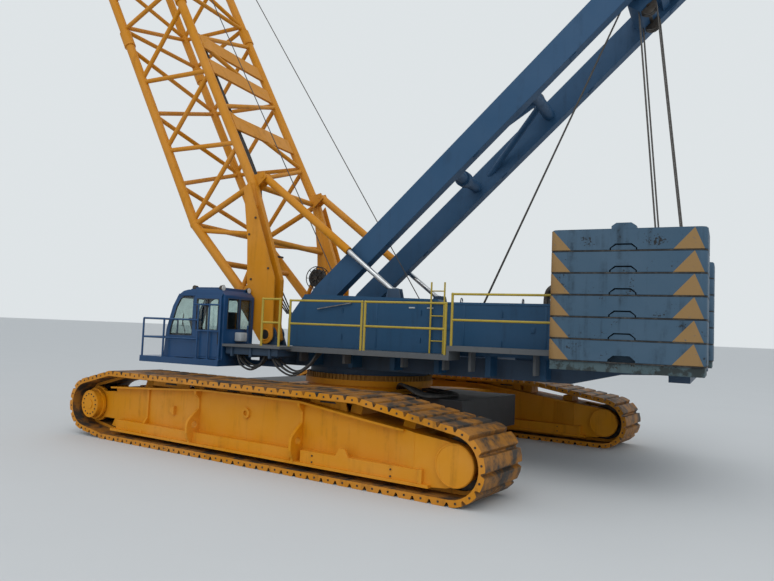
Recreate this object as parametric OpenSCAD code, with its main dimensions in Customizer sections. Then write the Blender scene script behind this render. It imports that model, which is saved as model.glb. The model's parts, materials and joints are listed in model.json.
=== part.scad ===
// Crawler crane with a lattice boom: tracks, slewing upper works, mast and hook.
// Millimetres, +Z up, +X towards the front of the upper works, +Y to its left.
// The origin is on the ground, in the middle of the whole crane's outline.

/* [Tracks] */
// Distance between the middles of the two tracks
gauge = 8400; // [7600:50:9200]
// Width of a track shoe
shoe_w = 1500; // [1200:20:1700]
// Distance from the slewing axis to the sprocket's centre
sprocket_x = 5085; // [4900:5:5300]
// Height of the sprocket's centre
sprocket_z = 760; // [740:5:780]
// Outer radius of the loop round the sprocket
sprocket_r = 640; // [620:5:660]
// Distance from the slewing axis to the idler's centre
idler_x = 5150; // [4900:5:5300]
// Height of the idler's centre, and outer radius of the loop round it
idler_z = 655; // [640:5:700]
// Height of the top run of shoes
run_top = 1635; // [1580:5:1700]
// Front end of the level top run
run_front = 4200; // [3900:10:4300]
// Rear end of the level top run
run_rear = 3150; // [2900:10:3400]
// Front end of the stretch that lies on the ground
ground_front = 4350; // [4200:10:4500]
// Thickness of a shoe with its lug
shoe_t = 120; // [100:5:140]
// Number of shoes in one track
shoe_count = 74; // [64:1:84]
// Depth of the notch between two shoes
shoe_notch = 75; // [50:5:90]
// Depth of the link chain inside the shoes
link_t = 70; // [50:5:90]
// Width of the link chain
link_w = 560; // [480:10:640]
// How far the tracks are turned under the upper works, in degrees
track_turn = -7.6; // [-12:0.1:12]

/* [Track frames] */
// Width of a track frame's box
tframe_w = 760; // [720:10:900]
// Outer half width of the frame's top flange
flange_y = 540; // [500:5:600]
// Outer half width of the frame's foot lip
lip_y = 660; // [620:5:700]
// Outer half width of the lifting plates
lift_y = 735; // [700:5:745]
// Outer face of the round covers
cover_y = 620; // [580:5:650]
// Top of the frame in the middle
tframe_top = 1420; // [1380:5:1440]
// Underside of the frame between the rollers
tframe_bottom = 470; // [440:5:500]
// Lower edge of the frame's side skirts
skirt_z = 215; // [205:5:260]
// Thickness of a side skirt
skirt_t = 70; // [60:5:100]
// Bottom rollers of one track
roller_count = 12; // [8:1:14]
// Radius of a bottom roller
roller_r = 125; // [110:5:130]
// Radius of the drive's round cover
drive_cap_r = 335; // [300:5:360]
// Radius of the idler's round cover
idler_cap_r = 370; // [340:5:400]

/* [Carbody] */
// Length of the carbody along the tracks
carbody_l = 3700; // [3400:20:4000]
// Width of its middle box
carbody_w = 3000; // [2600:20:3400]
// Underside of the carbody
carbody_z0 = 620; // [560:10:700]
// Top of the carbody
carbody_z1 = 1400; // [1350:5:1440]
// Radius of the round drum under the slewing ring
turret_r = 1610; // [1550:10:1650]
// Top of that drum
turret_z1 = 1550; // [1500:5:1600]
// Length of one cross beam along the track
beam_l = 900; // [700:20:1100]
// Radius of the slewing ring's teeth tips
ring_r = 1660; // [1500:10:1750]
// Top of the slewing ring
ring_z1 = 1760; // [1700:5:1780]
// Number of teeth on the slewing ring
ring_teeth = 96; // [60:1:120]
// Length of one central ballast block
ballast_l = 1700; // [1400:20:1900]
// Top of the central ballast
ballast_z1 = 1385; // [1200:5:1400]

/* [Upper frame] */
// Underside of the main frame
frame_z0 = 1900; // [1860:5:1950]
// Top of the main frame
frame_z1 = 2340; // [2280:5:2400]
// Half width of the main frame
frame_hw = 1500; // [1400:10:1550]
// Width of one main girder
girder_w = 450; // [350:10:550]
// Rear end of the main frame, behind the slewing axis
frame_rear = 8150; // [8000:10:8300]
// Front end of the main frame
frame_front = 2250; // [2200:10:2400]

/* [Side houses] */
// Outer face of a side house
house_y1 = 2020; // [1980:5:2060]
// Inner face of a side house
house_y0 = 1630; // [1620:5:1700]
// Roof of the rear part of a house
house_z1 = 3560; // [3450:10:3650]
// Highest point of the front part of a house
house_z2 = 3690; // [3660:10:3750]
// Front end of the sloping front
house_front = 1300; // [1200:10:1400]
// Front end of the roof
house_roof_front = 850; // [700:10:1000]
// Rear end of a side house
house_rear = 7000; // [6800:10:7200]
// Sheet and frame thickness of a house
house_t = 40; // [30:5:60]

/* [Walkways and rails] */
// Outer edge of the walkways
walk_y1 = 2720; // [2600:10:2800]
// Top of the front walkway
walk_z = 2400; // [2380:5:2440]
// Top of the rear walkway
walk_rear_z = 2600; // [2560:5:2640]
// Front end of the front walkway
walk_front = 850; // [700:10:1000]
// Step between the front and the rear walkway
walk_step = 3270; // [3100:10:3400]
// Height of the handrails
rail_h = 1100; // [1000:10:1150]
// Radius of a handrail tube
rail_r = 25; // [20:1:30]

/* [Counterweight] */
// Plates in one stack
plate_count = 6; // [3:1:7]
// Height of one plate
plate_t = 405; // [380:5:420]
// Length of a plate along the crane
plate_l = 2700; // [2600:10:2800]
// Depth of a plate across the crane
plate_d = 1300; // [1200:10:1400]
// Outer face of the stacks
plate_y1 = 3500; // [3450:10:3600]
// Rear face of the stacks, behind the slewing axis
plate_rear = 8240; // [8200:10:8300]
// Underside of the lowest plate
plate_z0 = 2450; // [2440:5:2480]
// Height of the carrier under the plates
tray_t = 175; // [150:5:200]

/* [Boom] */
// Boom foot pin, in front of the slewing axis
boom_x = 2050; // [2000:10:2100]
// Height of the boom foot pin
boom_z = 2650; // [2620:5:2700]
// Angle of the boom above level, in degrees
boom_angle = 62; // [55:0.5:70]
// Length from the foot pin to the head
boom_len = 30000; // [28000:100:32000]
// Half distance between the chords across the crane
chord_y = 1600; // [1500:10:1650]
// Half distance between the front and the rear chords
chord_v = 1100; // [1000:10:1250]
// Radius of a chord tube
chord_r = 130; // [110:5:140]
// Radius of a lacing tube
lace_r = 65; // [50:5:75]
// Distance from the foot pin to the kink of the chords
kink_u = 3950; // [3700:50:4200]
// Length of the foot section
foot_len = 10500; // [10000:50:11000]
// Length of the head section
head_len = 10500; // [10000:50:11000]
// Length of the tapered end of the head section
taper_len = 5200; // [4800:50:5600]
// Radius of the boom foot pin
boom_pin_r = 90; // [70:5:100]

/* [Mast] */
// Mast foot pin, in front of the slewing axis
mast_x = 1350; // [1300:10:1400]
// Height of the mast foot pin
mast_z = 3200; // [3150:10:3250]
// Angle of the mast, in degrees from the front
mast_angle = 136.7; // [130:0.1:140]
// Length from the foot pin to the head shaft
mast_len = 12000; // [11500:50:12500]
// Half distance between the mast legs
mast_y = 1150; // [1100:10:1160]
// Width of a mast leg
leg_w = 300; // [260:10:320]
// Depth of a mast leg
leg_d = 600; // [500:10:650]
// Radius of the mast foot pin
mast_pin_r = 70; // [60:5:90]

/* [Rigging] */
// Radius of a rope or stay
stay_r = 38; // [25:1:50]
// Radius of the head sheaves
sheave_r = 480; // [400:10:520]
// Height of the hook block's shaft below the boom head shaft
hook_drop = 7600; // [6500:100:9000]
// Outer radius of the backstop barrels
stop_r = 105; // [90:5:110]
// Radius of the backstop rods
rod_r = 65; // [50:5:75]
// Half distance between the backstops
stop_y = 1450; // [1440:5:1455]

/* [Cab] */
// Inner side of the cab
cab_y0 = 2000; // [1980:5:2050]
// Outer side of the cab
cab_y1 = 3150; // [3100:5:3250]
// Floor level under the cab
cab_z0 = 2000; // [1980:5:2040]
// Roof of the cab
cab_z1 = 3700; // [3650:5:3750]
// Rear wall of the cab
cab_rear = 2400; // [2380:5:2420]
// Foot of the windscreen
cab_front = 4220; // [4100:10:4300]
// Wall thickness of the cab
cab_t = 50; // [40:1:60]
// Travel of the sliding door
door_travel = 560; // [500:10:580]

/* [Winches] */
// Radius of a winch drum
drum_r = 330; // [280:10:360]
// Width of a winch drum between its flanges
drum_w = 1300; // [1200:10:1400]
// Height of the drum shafts
drum_z = 2960; // [2900:10:3000]

/* [Hidden] */
$fn = 48;

yellow = "#e8a20c";
blue = "#1f4a7c";
grey = "#6b7076";
dark = "#2b2d30";
steel = "#b9bdc0";
pane = "#9fb4bd";

// Running gap, seat gap and the play of a pin in its bore
gap = 6;
touch = 0.3;
play = 0.6;

// Distance of the lacing's ends from the chords' centre lines, and between two tubes at a knot
lace_in = 92;
lace_gap = 45;

// Boom head, hook and tail positions that centre the crane on its origin
head_shaft_u = boom_len - 150;
head_shaft_v = -1250;
head_x = boom_x + head_shaft_u * cos(boom_angle) - head_shaft_v * sin(boom_angle);
head_z = boom_z + head_shaft_u * sin(boom_angle) + head_shaft_v * cos(boom_angle);
tail_x = -plate_rear - 10;
fall_r = 20;
fall_x = sheave_r + fall_r + touch;
nose_x = head_x + fall_x + fall_r;
slew_x = -(nose_x + tail_x) / 2;

// Pendants run from the boom head's rear lugs to the mast head
pend_u = boom_len - 400;
pend_v = 900;
pend_x = boom_x + pend_u * cos(boom_angle) - pend_v * sin(boom_angle);
pend_z = boom_z + pend_u * sin(boom_angle) + pend_v * cos(boom_angle);
mhead_x = mast_x + mast_len * cos(mast_angle);
mhead_z = mast_z + mast_len * sin(mast_angle);
pend_len = norm([pend_x - mhead_x, pend_z - mhead_z]);
pend_angle = atan2(pend_z - mhead_z, pend_x - mhead_x);

// Backstops run from lugs on the boom to seats on the main frame
stop_u = kink_u + 50;
stop_v = chord_v + 350;
stop_x = boom_x + stop_u * cos(boom_angle) - stop_v * sin(boom_angle);
stop_z = boom_z + stop_u * sin(boom_angle) + stop_v * cos(boom_angle);
seat_x = -1350;
seat_z = 3800;
stop_len = norm([stop_x - seat_x, stop_z - seat_z]);
stop_angle = atan2(seat_z - stop_z, seat_x - stop_x);
barrel_len = 3350;
rod_len = 3500;

deck_t = 50;
tray_z0 = plate_z0 - tray_t;

// Moves the slewing axis to its place from the origin
module upper() {
    translate([slew_x, 0, 0])
        children();
}

// Turns the undercarriage under the upper works
module lower() {
    translate([slew_x, 0, 0])
        rotate([0, 0, track_turn])
            children();
}

// Round bar between two points
module tube(p, q, r) {
    d = q - p;
    l = norm(d);
    translate(p)
        rotate([0, acos(d[2] / l), atan2(d[1], d[0])])
            cylinder(h = l, r = r);
}

// Round bar along Y, centred at y
module bar_y(x, y, z, r, l) {
    translate([x, y - l / 2, z])
        rotate([-90, 0, 0])
            cylinder(h = l, r = r);
}

// Plate with a side outline, from y to y + t
module plate_y(points, y, t) {
    translate([0, y + t, 0])
        rotate([90, 0, 0])
            linear_extrude(height = t)
                polygon(points);
}

// Box between two corners
module box(a, b) {
    translate(a)
        cube(b - a);
}

// Track loop path: [x, z] of the corners of its outer line, as arcs of short steps
function arc(cx, cz, r, a0, a1, n) =
    [for (i = [0 : n]) [cx + r * cos(a0 + (a1 - a0) * i / n), cz + r * sin(a0 + (a1 - a0) * i / n)]];

front_x = sprocket_x;
rear_x = -idler_x;
rise_rear = atan2(run_top - 2 * idler_z, -run_rear - rear_x);
fall_front = atan2(run_top - sprocket_z - sprocket_r, front_x - run_front);
lift_front = atan2(sprocket_z - sprocket_r, front_x - ground_front);

// Height of the chain's underside above a support at x
function run_seat(x) = run_top - max(0, x + 130 - run_front) * tan(fall_front)
    - max(0, -run_rear - x + 130) * tan(rise_rear) - (shoe_t + link_t) * 1.01 - gap;

// Closed outline of the loop at a depth below the shoe tips, anticlockwise from the ground
function loop_line(depth) = concat(
    [[ground_front, depth]],
    arc(front_x, sprocket_z, sprocket_r - depth, lift_front - 90, 90 - fall_front, 14),
    [[run_front, run_top - depth], [-run_rear, run_top - depth]],
    arc(rear_x, idler_z, idler_z - depth, 90 + rise_rear, 270, 14));

function seg_lengths(p) = [for (i = [0 : len(p) - 1]) norm(p[(i + 1) % len(p)] - p[i])];
function run_to(lens, n) = n <= 0 ? 0 : lens[n - 1] + run_to(lens, n - 1);
function find_seg(lens, s, i = 0) = (i >= len(lens) - 1 || s < lens[i]) ? [i, s] : find_seg(lens, s - lens[i], i + 1);

// Point at a distance along a closed line
function along(p, lens, s) =
    let (f = find_seg(lens, s), a = p[f[0]], b = p[(f[0] + 1) % len(p)])
    a + (b - a) * f[1] / lens[f[0]];

// Shoes with slanted ends between notches, cut into the loop's outline
module shoe_notches() {
    p = loop_line(0);
    lens = seg_lengths(p);
    total = run_to(lens, len(lens));
    for (i = [0 : shoe_count - 1]) {
        s = total * (i + 0.5) / shoe_count;
        a = along(p, lens, (s - 20 + total) % total);
        b = along(p, lens, (s + 20) % total);
        translate((a + b) / 2)
            rotate(atan2(b[1] - a[1], b[0] - a[0]))
                polygon([[-62, -30], [62, -30], [14, shoe_notch], [-14, shoe_notch]]);
    }
}

module track_loop(side) {
    y = side * gauge / 2;
    lower()
        translate([0, y, 0])
            rotate([90, 0, 0])
                union() {
                    translate([0, 0, -shoe_w / 2])
                        linear_extrude(height = shoe_w)
                            difference() {
                                polygon(loop_line(0));
                                polygon(loop_line(shoe_t));
                                shoe_notches();
                            }
                    translate([0, 0, -link_w / 2])
                        linear_extrude(height = link_w)
                            difference() {
                                polygon(loop_line(shoe_t - 10));
                                polygon(loop_line(shoe_t + link_t));
                            }
                }
}

module track_loop_left() color(yellow) track_loop(1);
module track_loop_right() color(yellow) track_loop(-1);

// Side outline of a track frame with its hollow front end, [x, z]
tframe_side = [
    [-4600, skirt_z], [4000, skirt_z], [4470, 280], [4370, 450], [4300, 650], [4285, 800], [4300, 980],
    [4340, 1110], [4390, 1235], [2780, 1325], [1150, tframe_top], [-1660, tframe_top], [-3300, 1220],
    [-5000, 1035], [-5330, 960], [-5500, 800], [-5520, 640], [-5430, 430], [-5200, 300], [-5000, 250]];

// Plan of a frame's side, which steps out towards the rear: [x, half width]
tframe_plan = [[4700, tframe_w / 2], [-3700, tframe_w / 2], [-4350, cover_y - 60], [-5700, cover_y - 60]];

// Strip along the frame's top, from one point to the next
function top_strip(t) = [
    [4390, 1235], [2780, 1325], [1150, tframe_top], [-1660, tframe_top], [-3300, 1220], [-4100, 1133],
    [-4100, 1133 - t], [-3300, 1220 - t], [-1660, tframe_top - t], [1150, tframe_top - t], [2780, 1325 - t],
    [4390 - t / 3, 1235 - t]];

// Lifting plates and ribs across the frame's side: [x, 1 with a rounded lifting plate]
frame_ribs = [[3100, 0], [1360, 1], [-1640, 1]];

// Outline of a rib in [distance from the frame's middle, z]
function rib_line(full) = full == 1
    ? [[tframe_w / 2 - 20, 1380], [flange_y, 1380], [flange_y - 10, 1310], [tframe_w / 2 + 45, 1200],
        [tframe_w / 2 + 40, 980], [lift_y - 100, 800], [lift_y - 25, 720], [lift_y, 640], [lift_y, 470],
        [lift_y - 40, 360], [lift_y - 75, 300], [lift_y - 75, skirt_z + 20], [tframe_w / 2 - 20, skirt_z + 20]]
    : [[tframe_w / 2 - 20, 1280], [tframe_w / 2 + 40, 1280], [tframe_w / 2 + 45, 600], [flange_y, 450],
        [flange_y + 40, 260], [tframe_w / 2 - 20, 260]];

module track_frame(side) {
    y = side * gauge / 2;
    hw = tframe_w / 2;
    inner = hw - skirt_t;
    lower()
        translate([0, y, 0])
            difference() {
                union() {
                    intersection() {
                        plate_y(tframe_side, -cover_y, 2 * cover_y);
                        linear_extrude(height = 2000)
                            polygon(concat(tframe_plan, [for (i = [3 : -1 : 0]) [tframe_plan[i][0], -tframe_plan[i][1]]]));
                    }
                    for (s = [-1, 1])
                        mirror([0, s < 0 ? 1 : 0, 0]) {
                            plate_y(top_strip(40), hw - 10, flange_y - hw + 10);
                            // foot lip, lower ledge and the long bolted plate behind it
                            box([-4700, hw - 10, skirt_z], [4150, lip_y, skirt_z + 50]);
                            box([-1500, hw - 10, skirt_z + 40], [4050, flange_y + 20, 475]);
                            box([-4480, hw - 10, skirt_z + 40], [-1800, flange_y + 60, 490]);
                            box([-4560, hw - 10, skirt_z + 40], [-4475, lip_y - 20, 510]);
                            bar_y(rear_x - 20, cover_y - 40, idler_z, idler_cap_r, 80);
                            bar_y(-100, hw + 15, 1020, 110, 70);
                        }
                    // ribs, lifting plates and lugs on the outer side only
                    mirror([0, side < 0 ? 1 : 0, 0]) {
                        for (r = frame_ribs)
                            difference() {
                                plate_x(rib_line(r[1]), r[0] - 30, 60);
                                if (r[1] == 1)
                                    translate([r[0] - 50, hw + 150, 640])
                                        rotate([0, 90, 0])
                                            cylinder(h = 100, r = 75);
                            }
                        plate_y([[2130, 960], [2330, 860], [2130, 760]], hw - 10, 90);
                        plate_y([[-2960, 480], [-2640, 480], [-2740, 640], [-2860, 640]], flange_y + 10, 45);
                    }
                    bar_y(rear_x, 0, idler_z, 130, 2 * cover_y - 140);
                    // chain supports on the frame's top
                    for (x = [-4050, -2850, -1600, 0, 1600, 3300])
                        plate_x([[-link_w / 2 - 60, 1000], [-link_w / 2 + 60, run_seat(x)], [link_w / 2 - 60, run_seat(x)],
                            [link_w / 2 + 60, 1000]], x - 130, 260);
                }
                // room for the rollers, the sprocket and the idler
                box([-4420, -inner, 0], [3950, inner, tframe_bottom]);
                box([3950 - touch, -inner, 0], [4700, inner, 2000]);
                difference() {
                    box([-5800, -inner, 0], [-4420 + touch, inner, 2000]);
                    bar_y(rear_x, 0, idler_z, 130, 2 * hw);
                }
                for (s = [-1, 1])
                    bar_y(-100, s * (hw + 60), 1020, 55, 120);
            }
}

module track_frame_left() color(yellow) track_frame(1);
module track_frame_right() color(yellow) track_frame(-1);

module sprocket(side) {
    y = side * gauge / 2;
    pitch_r = sprocket_r - shoe_t - link_t - gap;
    lower()
        translate([front_x, y, sprocket_z])
            rotate([90, 0, 0])
                difference() {
                    union() {
                        for (z = [-1, 1])
                            translate([0, 0, z * 150 - 50])
                                linear_extrude(height = 100)
                                    union() {
                                        circle(r = pitch_r - 60);
                                        for (i = [0 : 11])
                                            rotate(i * 30)
                                                polygon([[0, -90], [pitch_r - 5, -35], [pitch_r - 5, 35], [0, 90]]);
                                    }
                        cylinder(h = 420, r = 330, center = true);
                    }
                    cylinder(h = 500, r = 251, center = true);
                }
}

module sprockets() color(dark) {
    sprocket(1);
    sprocket(-1);
}

// Gearbox through the sprocket, with stepped round covers and its arms to the frame
module track_drive(side) {
    y = side * gauge / 2;
    hw = tframe_w / 2;
    lower()
        translate([0, y, 0])
            union() {
                bar_y(front_x, 0, sprocket_z, 250, tframe_w);
                for (s = [-1, 1]) {
                    bar_y(front_x, s * (hw + cover_y - 70) / 2, sprocket_z, drive_cap_r, cover_y - hw + 70);
                    bar_y(front_x, s * (hw - skirt_t / 2), sprocket_z, 425, skirt_t);
                    bar_y(front_x, s * (hw + 70), sprocket_z, drive_cap_r + 45, 60);
                    plate_y(concat([for (i = [3 : 7]) tframe_side[i] + [touch, 0]], [[4480, 1110],
                        [front_x, sprocket_z + 300], [front_x, sprocket_z - 300], [4480, 450]]),
                        s * (hw - skirt_t / 2) - skirt_t / 2, skirt_t);
                }
            }
}

module track_drives() color(yellow) {
    track_drive(1);
    track_drive(-1);
}

module idler(side) {
    y = side * gauge / 2;
    lower()
        translate([rear_x, y, idler_z])
            rotate([90, 0, 0])
                difference() {
                    cylinder(h = 420, r = idler_z - shoe_t - link_t - gap, center = true);
                    cylinder(h = 440, r = 130 + touch, center = true);
                }
}

module idlers() color(dark) {
    idler(1);
    idler(-1);
}

roller_z = shoe_t + link_t + touch + roller_r;

module track_rollers() color(dark)
    lower()
        for (side = [-1, 1])
            for (i = [0 : roller_count - 1]) {
                x = -4250 + i * 8100 / (roller_count - 1);
                y = side * gauge / 2;
                bar_y(x, y, roller_z, roller_r, 520);
                bar_y(x, y, roller_z, 60, tframe_w - 2 * skirt_t - 2 * touch);
            }

module carbody() color(yellow)
    lower()
        difference() {
            union() {
                box([-carbody_l / 2, -carbody_w / 2, carbody_z0], [carbody_l / 2, carbody_w / 2, carbody_z1]);
                for (s = [-1, 1])
                    for (m = [-1, 1])
                        plate_x([[m * carbody_w / 2 - m * 50, carbody_z0], [m * carbody_w / 2 - m * 50, carbody_z1],
                            [m * (gauge / 2 - lip_y - 25), carbody_z1 - 120],
                            [m * (gauge / 2 - tframe_w / 2 - touch), carbody_z1 - 150],
                            [m * (gauge / 2 - tframe_w / 2 - touch), carbody_z0]],
                            s * (carbody_l / 2 - beam_l / 2) - beam_l / 2, beam_l);
                cylinder(h = turret_z1, r = turret_r);
                translate([0, 0, turret_z1 - 45])
                    cylinder(h = 45, r = turret_r + 35);
                translate([0, 0, carbody_z1 - 20])
                    cylinder(h = 80, r1 = turret_r + 130, r2 = turret_r - 5);
                cylinder(h = ring_z1 - 60, r = ring_r - 190);
            }
            translate([0, 0, -1])
                cylinder(h = carbody_z0 + 1, r = ring_r + 200);
            translate([0, 0, 300])
                cylinder(h = 1800, r = 500);
        }

// Plate with an outline in Y and Z, from x to x + t
module plate_x(points, x, t) {
    translate([x, 0, 0])
        rotate([90, 0, 90])
            linear_extrude(height = t)
                polygon(points);
}

module slew_ring() color(dark)
    lower()
        translate([0, 0, turret_z1 + touch])
            linear_extrude(height = ring_z1 - turret_z1 - touch)
                difference() {
                    union() {
                        circle(r = ring_r - 45);
                        for (i = [0 : ring_teeth - 1])
                            rotate(i * 360 / ring_teeth)
                                translate([ring_r - 60, -24])
                                    square([60, 48]);
                    }
                    circle(r = ring_r - 190 + touch);
                }

module central_ballast() color(dark)
    lower()
        for (s = [-1, 1])
            difference() {
                x0 = carbody_l / 2 + touch;
                box([s > 0 ? x0 : -x0 - ballast_l, -1450, carbody_z0], [s > 0 ? x0 + ballast_l : -x0, 1450, ballast_z1]);
                for (y = [-1, 1])
                    box([s * (x0 + ballast_l / 2) - 250, y * 1450 - 60, carbody_z0 - 1],
                        [s * (x0 + ballast_l / 2) + 250, y * 1450 + 60, ballast_z1 + 1]);
            }

// Lugs beside the boom foot and the mast foot, with their pins
module foot_lugs(x, z, y, half, r, pin_r, z0) {
    for (side = [-1, 1]) {
        for (s = [-1, 1])
            translate([0, side * y + s * (half + gap + 35) - 35, 0])
                difference() {
                    union() {
                        plate_y([[x - r * 1.5, z0], [x + r * 1.1, z0], [x + r * 0.9, z], [x - r * 0.9, z]], 0, 70);
                        translate([x, 0, z])
                            rotate([-90, 0, 0])
                                cylinder(h = 70, r = r);
                    }
                }
        bar_y(x, side * y, z, pin_r, 2 * half + 2 * gap + 200);
    }
}

module main_frame() color(blue)
    upper()
        difference() {
            union() {
                for (s = [-1, 1])
                    plate_y([[-frame_rear, tray_z0 - 40], [-frame_rear, frame_z1], [frame_front, frame_z1],
                        [frame_front, frame_z0 + 60], [frame_front - 700, frame_z0], [-5600, frame_z0],
                        [-6600, tray_z0 - 120]],
                        s * (frame_hw - girder_w / 2) - girder_w / 2, girder_w);
                for (x = [-7900, -5300, -3600, 1500])
                    box([x, -frame_hw, frame_z0 + (x < -5500 ? 160 : 60)], [x + 400, frame_hw, frame_z1 - 20]);
                box([-1800, -frame_hw, frame_z0], [1800, frame_hw, frame_z0 + 160]);
                box([-frame_rear, -frame_hw, frame_z1 - 40], [1900, frame_hw, frame_z1]);
                translate([0, 0, ring_z1 + touch])
                    cylinder(h = frame_z0 - ring_z1, r = ring_r - 100);
                for (s = [-1, 1])
                    box([1350, s > 0 ? frame_hw - 50 : -chord_y - 250, frame_z0 + 60],
                        [frame_front, s > 0 ? chord_y + 250 : -frame_hw + 50, frame_z1]);
                foot_lugs(boom_x, boom_z, chord_y, 125, 230, boom_pin_r, frame_z1 - 30);
                foot_lugs(mast_x, mast_z, mast_y, leg_w / 2, 200, mast_pin_r, frame_z1 - 30);
                // open seats of the backstop rods
                for (s = [-1, 1]) {
                    for (d = [-1, 1])
                        plate_y([[seat_x - 260, seat_z - 420], [seat_x + 260, seat_z - 420], [seat_x + 140, seat_z + 90],
                            [seat_x - 140, seat_z + 90]], s * stop_y + d * 95 - 17, 34);
                    box([seat_x - 260, s > 0 ? stop_y - 112 : -frame_hw, frame_z1 - 30],
                        [seat_x + 260, s > 0 ? frame_hw : -stop_y + 112, seat_z - 420]);
                    box([seat_x - 260, s > 0 ? stop_y - 112 : -stop_y - 112, seat_z - 480],
                        [seat_x + 260, s > 0 ? stop_y + 112 : -stop_y + 112, seat_z - 410]);
                }
            }
            translate([0, 0, frame_z0 - 300])
                cylinder(h = 500, r = 500);
        }

module house_outline(inset) {
    i = inset;
    polygon([[-house_rear + i, walk_z + 5 + i], [house_front - i, walk_z + 5 + i],
        [house_front - i, 3090 - i * 0.3], [house_roof_front - i * 0.4, house_z2 - i],
        [-2700 - i * 0.2, house_z1 + 60 - i], [-2720 - i, house_z1 - i], [-house_rear + i, house_z1 - i]]);
}

module house(side) {
    upper()
        mirror([0, side < 0 ? 1 : 0, 0])
            difference() {
                union() {
                    translate([0, house_y1, 0])
                        rotate([90, 0, 0])
                            linear_extrude(height = house_y1 - house_y0)
                                house_outline(0);
                    for (x = [-5100, -3900, -2700, -1600, -500, 600])
                        box([x - 60, frame_hw + touch, frame_z0 + 60], [x + 60, house_y1 - 40, walk_z + 20]);
                }
                translate([0, house_y1 - house_t, 0])
                    rotate([90, 0, 0])
                        linear_extrude(height = house_y1 - house_y0 - 2 * house_t)
                            house_outline(house_t);
            }
}

module house_left() color(blue) house(1);
module house_right() color(blue) house(-1);

module engine_block() color(grey)
    upper()
        box([-6500, -500, frame_z1 + touch], [-4700, 500, 3250]);

module engine_hood() color(blue)
    upper()
        difference() {
            box([-6900, 50 - frame_hw, frame_z1 + touch], [-4350, frame_hw - 50, 3450]);
            box([-6900 + house_t, 50 - frame_hw + house_t, frame_z1 - 10],
                [-4350 - house_t, frame_hw - 50 - house_t, 3450 - house_t]);
        }

module walkway(side) {
    upper()
        mirror([0, side < 0 ? 1 : 0, 0])
            union() {
                box([-walk_step, house_y1 + touch, walk_z - 110], [walk_front, walk_y1, walk_z]);
                box([-house_rear + 1480, house_y1 + touch, walk_rear_z - 110], [-walk_step + 60, walk_y1, walk_rear_z]);
                box([-walk_step, house_y1 + touch, walk_z - 110], [-walk_step + 60, walk_y1, walk_rear_z]);
                for (x = [-5000, -3600, -3000, -2000, -500, 700])
                    plate_y([[x - 30, x < -walk_step ? walk_rear_z - 60 : walk_z - 60],
                        [x + 30, x < -walk_step ? walk_rear_z - 60 : walk_z - 60],
                        [x + 30, frame_z0 + 160], [x - 30, frame_z0 + 160]], house_y1 + touch, 300);
                // landing behind the cab, carried by the main frame's outrigger
                box([walk_front - 150, house_y1 + 60, walk_z - 60], [cab_rear - 30, side > 0 ? cab_y1 + 60 : walk_y1, walk_z]);
                box([house_front + 100, chord_y + 250 + touch, frame_z1 - 100], [frame_front - 50, house_y1 + 80, frame_z1 + 10]);
            }
}

module walkway_left() color(grey) walkway(1);
module walkway_right() color(grey) walkway(-1);

// One bay of rail: [start x, end x, deck height, posts]
rail_bays = [
    [walk_front - 40, -1130, walk_z, 2],
    [-1210, -walk_step + 110, walk_z, 2],
    [-walk_step - 30, -house_rear + 1520, walk_rear_z, 2]];

module rail_bay(x0, x1, z0, posts, y) {
    z1 = z0 + rail_h;
    for (i = [0 : posts - 1]) {
        x = x0 + (x1 - x0) * i / (posts - 1);
        tube([x, y, z0 + touch], [x, y, z1], rail_r + 3);
        translate([x, y, z1])
            sphere(r = rail_r + 7);
    }
    for (z = [z1, z0 + rail_h / 2])
        tube([x0, y, z], [x1, y, z], rail_r);
}

module handrails() color("#c9a227")
    upper() {
        for (s = [-1, 1])
            for (b = rail_bays)
                rail_bay(b[0], b[1], b[2], b[3], s * (walk_y1 - 40));
        rail_bay(walk_front - 90, walk_front + 400, walk_z, 2, cab_y1 + 20);
        // ladder to the roof of the left house
        union() {
            for (x = [-2880, -2560])
                tube([x, house_y1 + 60, walk_z + touch], [x, house_y1 + 60, 4000], 20);
            for (i = [0 : 4])
                tube([-2880, house_y1 + 60, walk_z + 280 + i * 280], [-2560, house_y1 + 60, walk_z + 280 + i * 280], 14);
            for (x = [-2880, -2560])
                tube([x, house_y1 + touch, 3300], [x, house_y1 + 60, 3300], 15);
        }
    }

module counterweight_tray() color(blue)
    upper()
        union() {
            x0 = -plate_rear + 30;
            x1 = -plate_rear + plate_l - 30;
            for (s = [-1, 1]) {
                box([x0, s > 0 ? plate_y1 - plate_d + 20 : -plate_y1 + 30, tray_z0],
                    [x1, s > 0 ? plate_y1 - 30 : -plate_y1 + plate_d - 20, plate_z0 - touch]);
                for (x = [x0 + 150, x1 - 650])
                    box([x, s > 0 ? frame_hw + touch : -plate_y1 + plate_d - 60, tray_z0],
                        [x + 500, s > 0 ? plate_y1 - plate_d + 60 : -frame_hw - touch, walk_z - 10]);
            }
        }

// Plan of one counterweight plate, with rounded corners
module plate_plan(inset) {
    r = 120;
    translate([-plate_rear + inset, plate_y1 - plate_d + inset])
        union() {
            l = plate_l - 2 * inset;
            d = plate_d - 2 * inset;
            translate([r, 0])
                square([l - 2 * r, d]);
            translate([0, r])
                square([l, d - 2 * r]);
            for (x = [r, l - r])
                for (y = [r, d - r])
                    translate([x, y])
                        circle(r = r);
        }
}

// Side outline of the lifting tab that stands in the notch of the plate above
module tab_outline(grow) {
    h = 105;
    x = -plate_rear + plate_l / 2 + 40;
    polygon([[x - 215 - grow, -30], [x - 215 - grow, h * 0.45], [x - 130 - grow / 2, h + grow],
        [x + 130 + grow / 2, h + grow], [x + 215 + grow, h * 0.45], [x + 215 + grow, -30]]);
}

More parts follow.
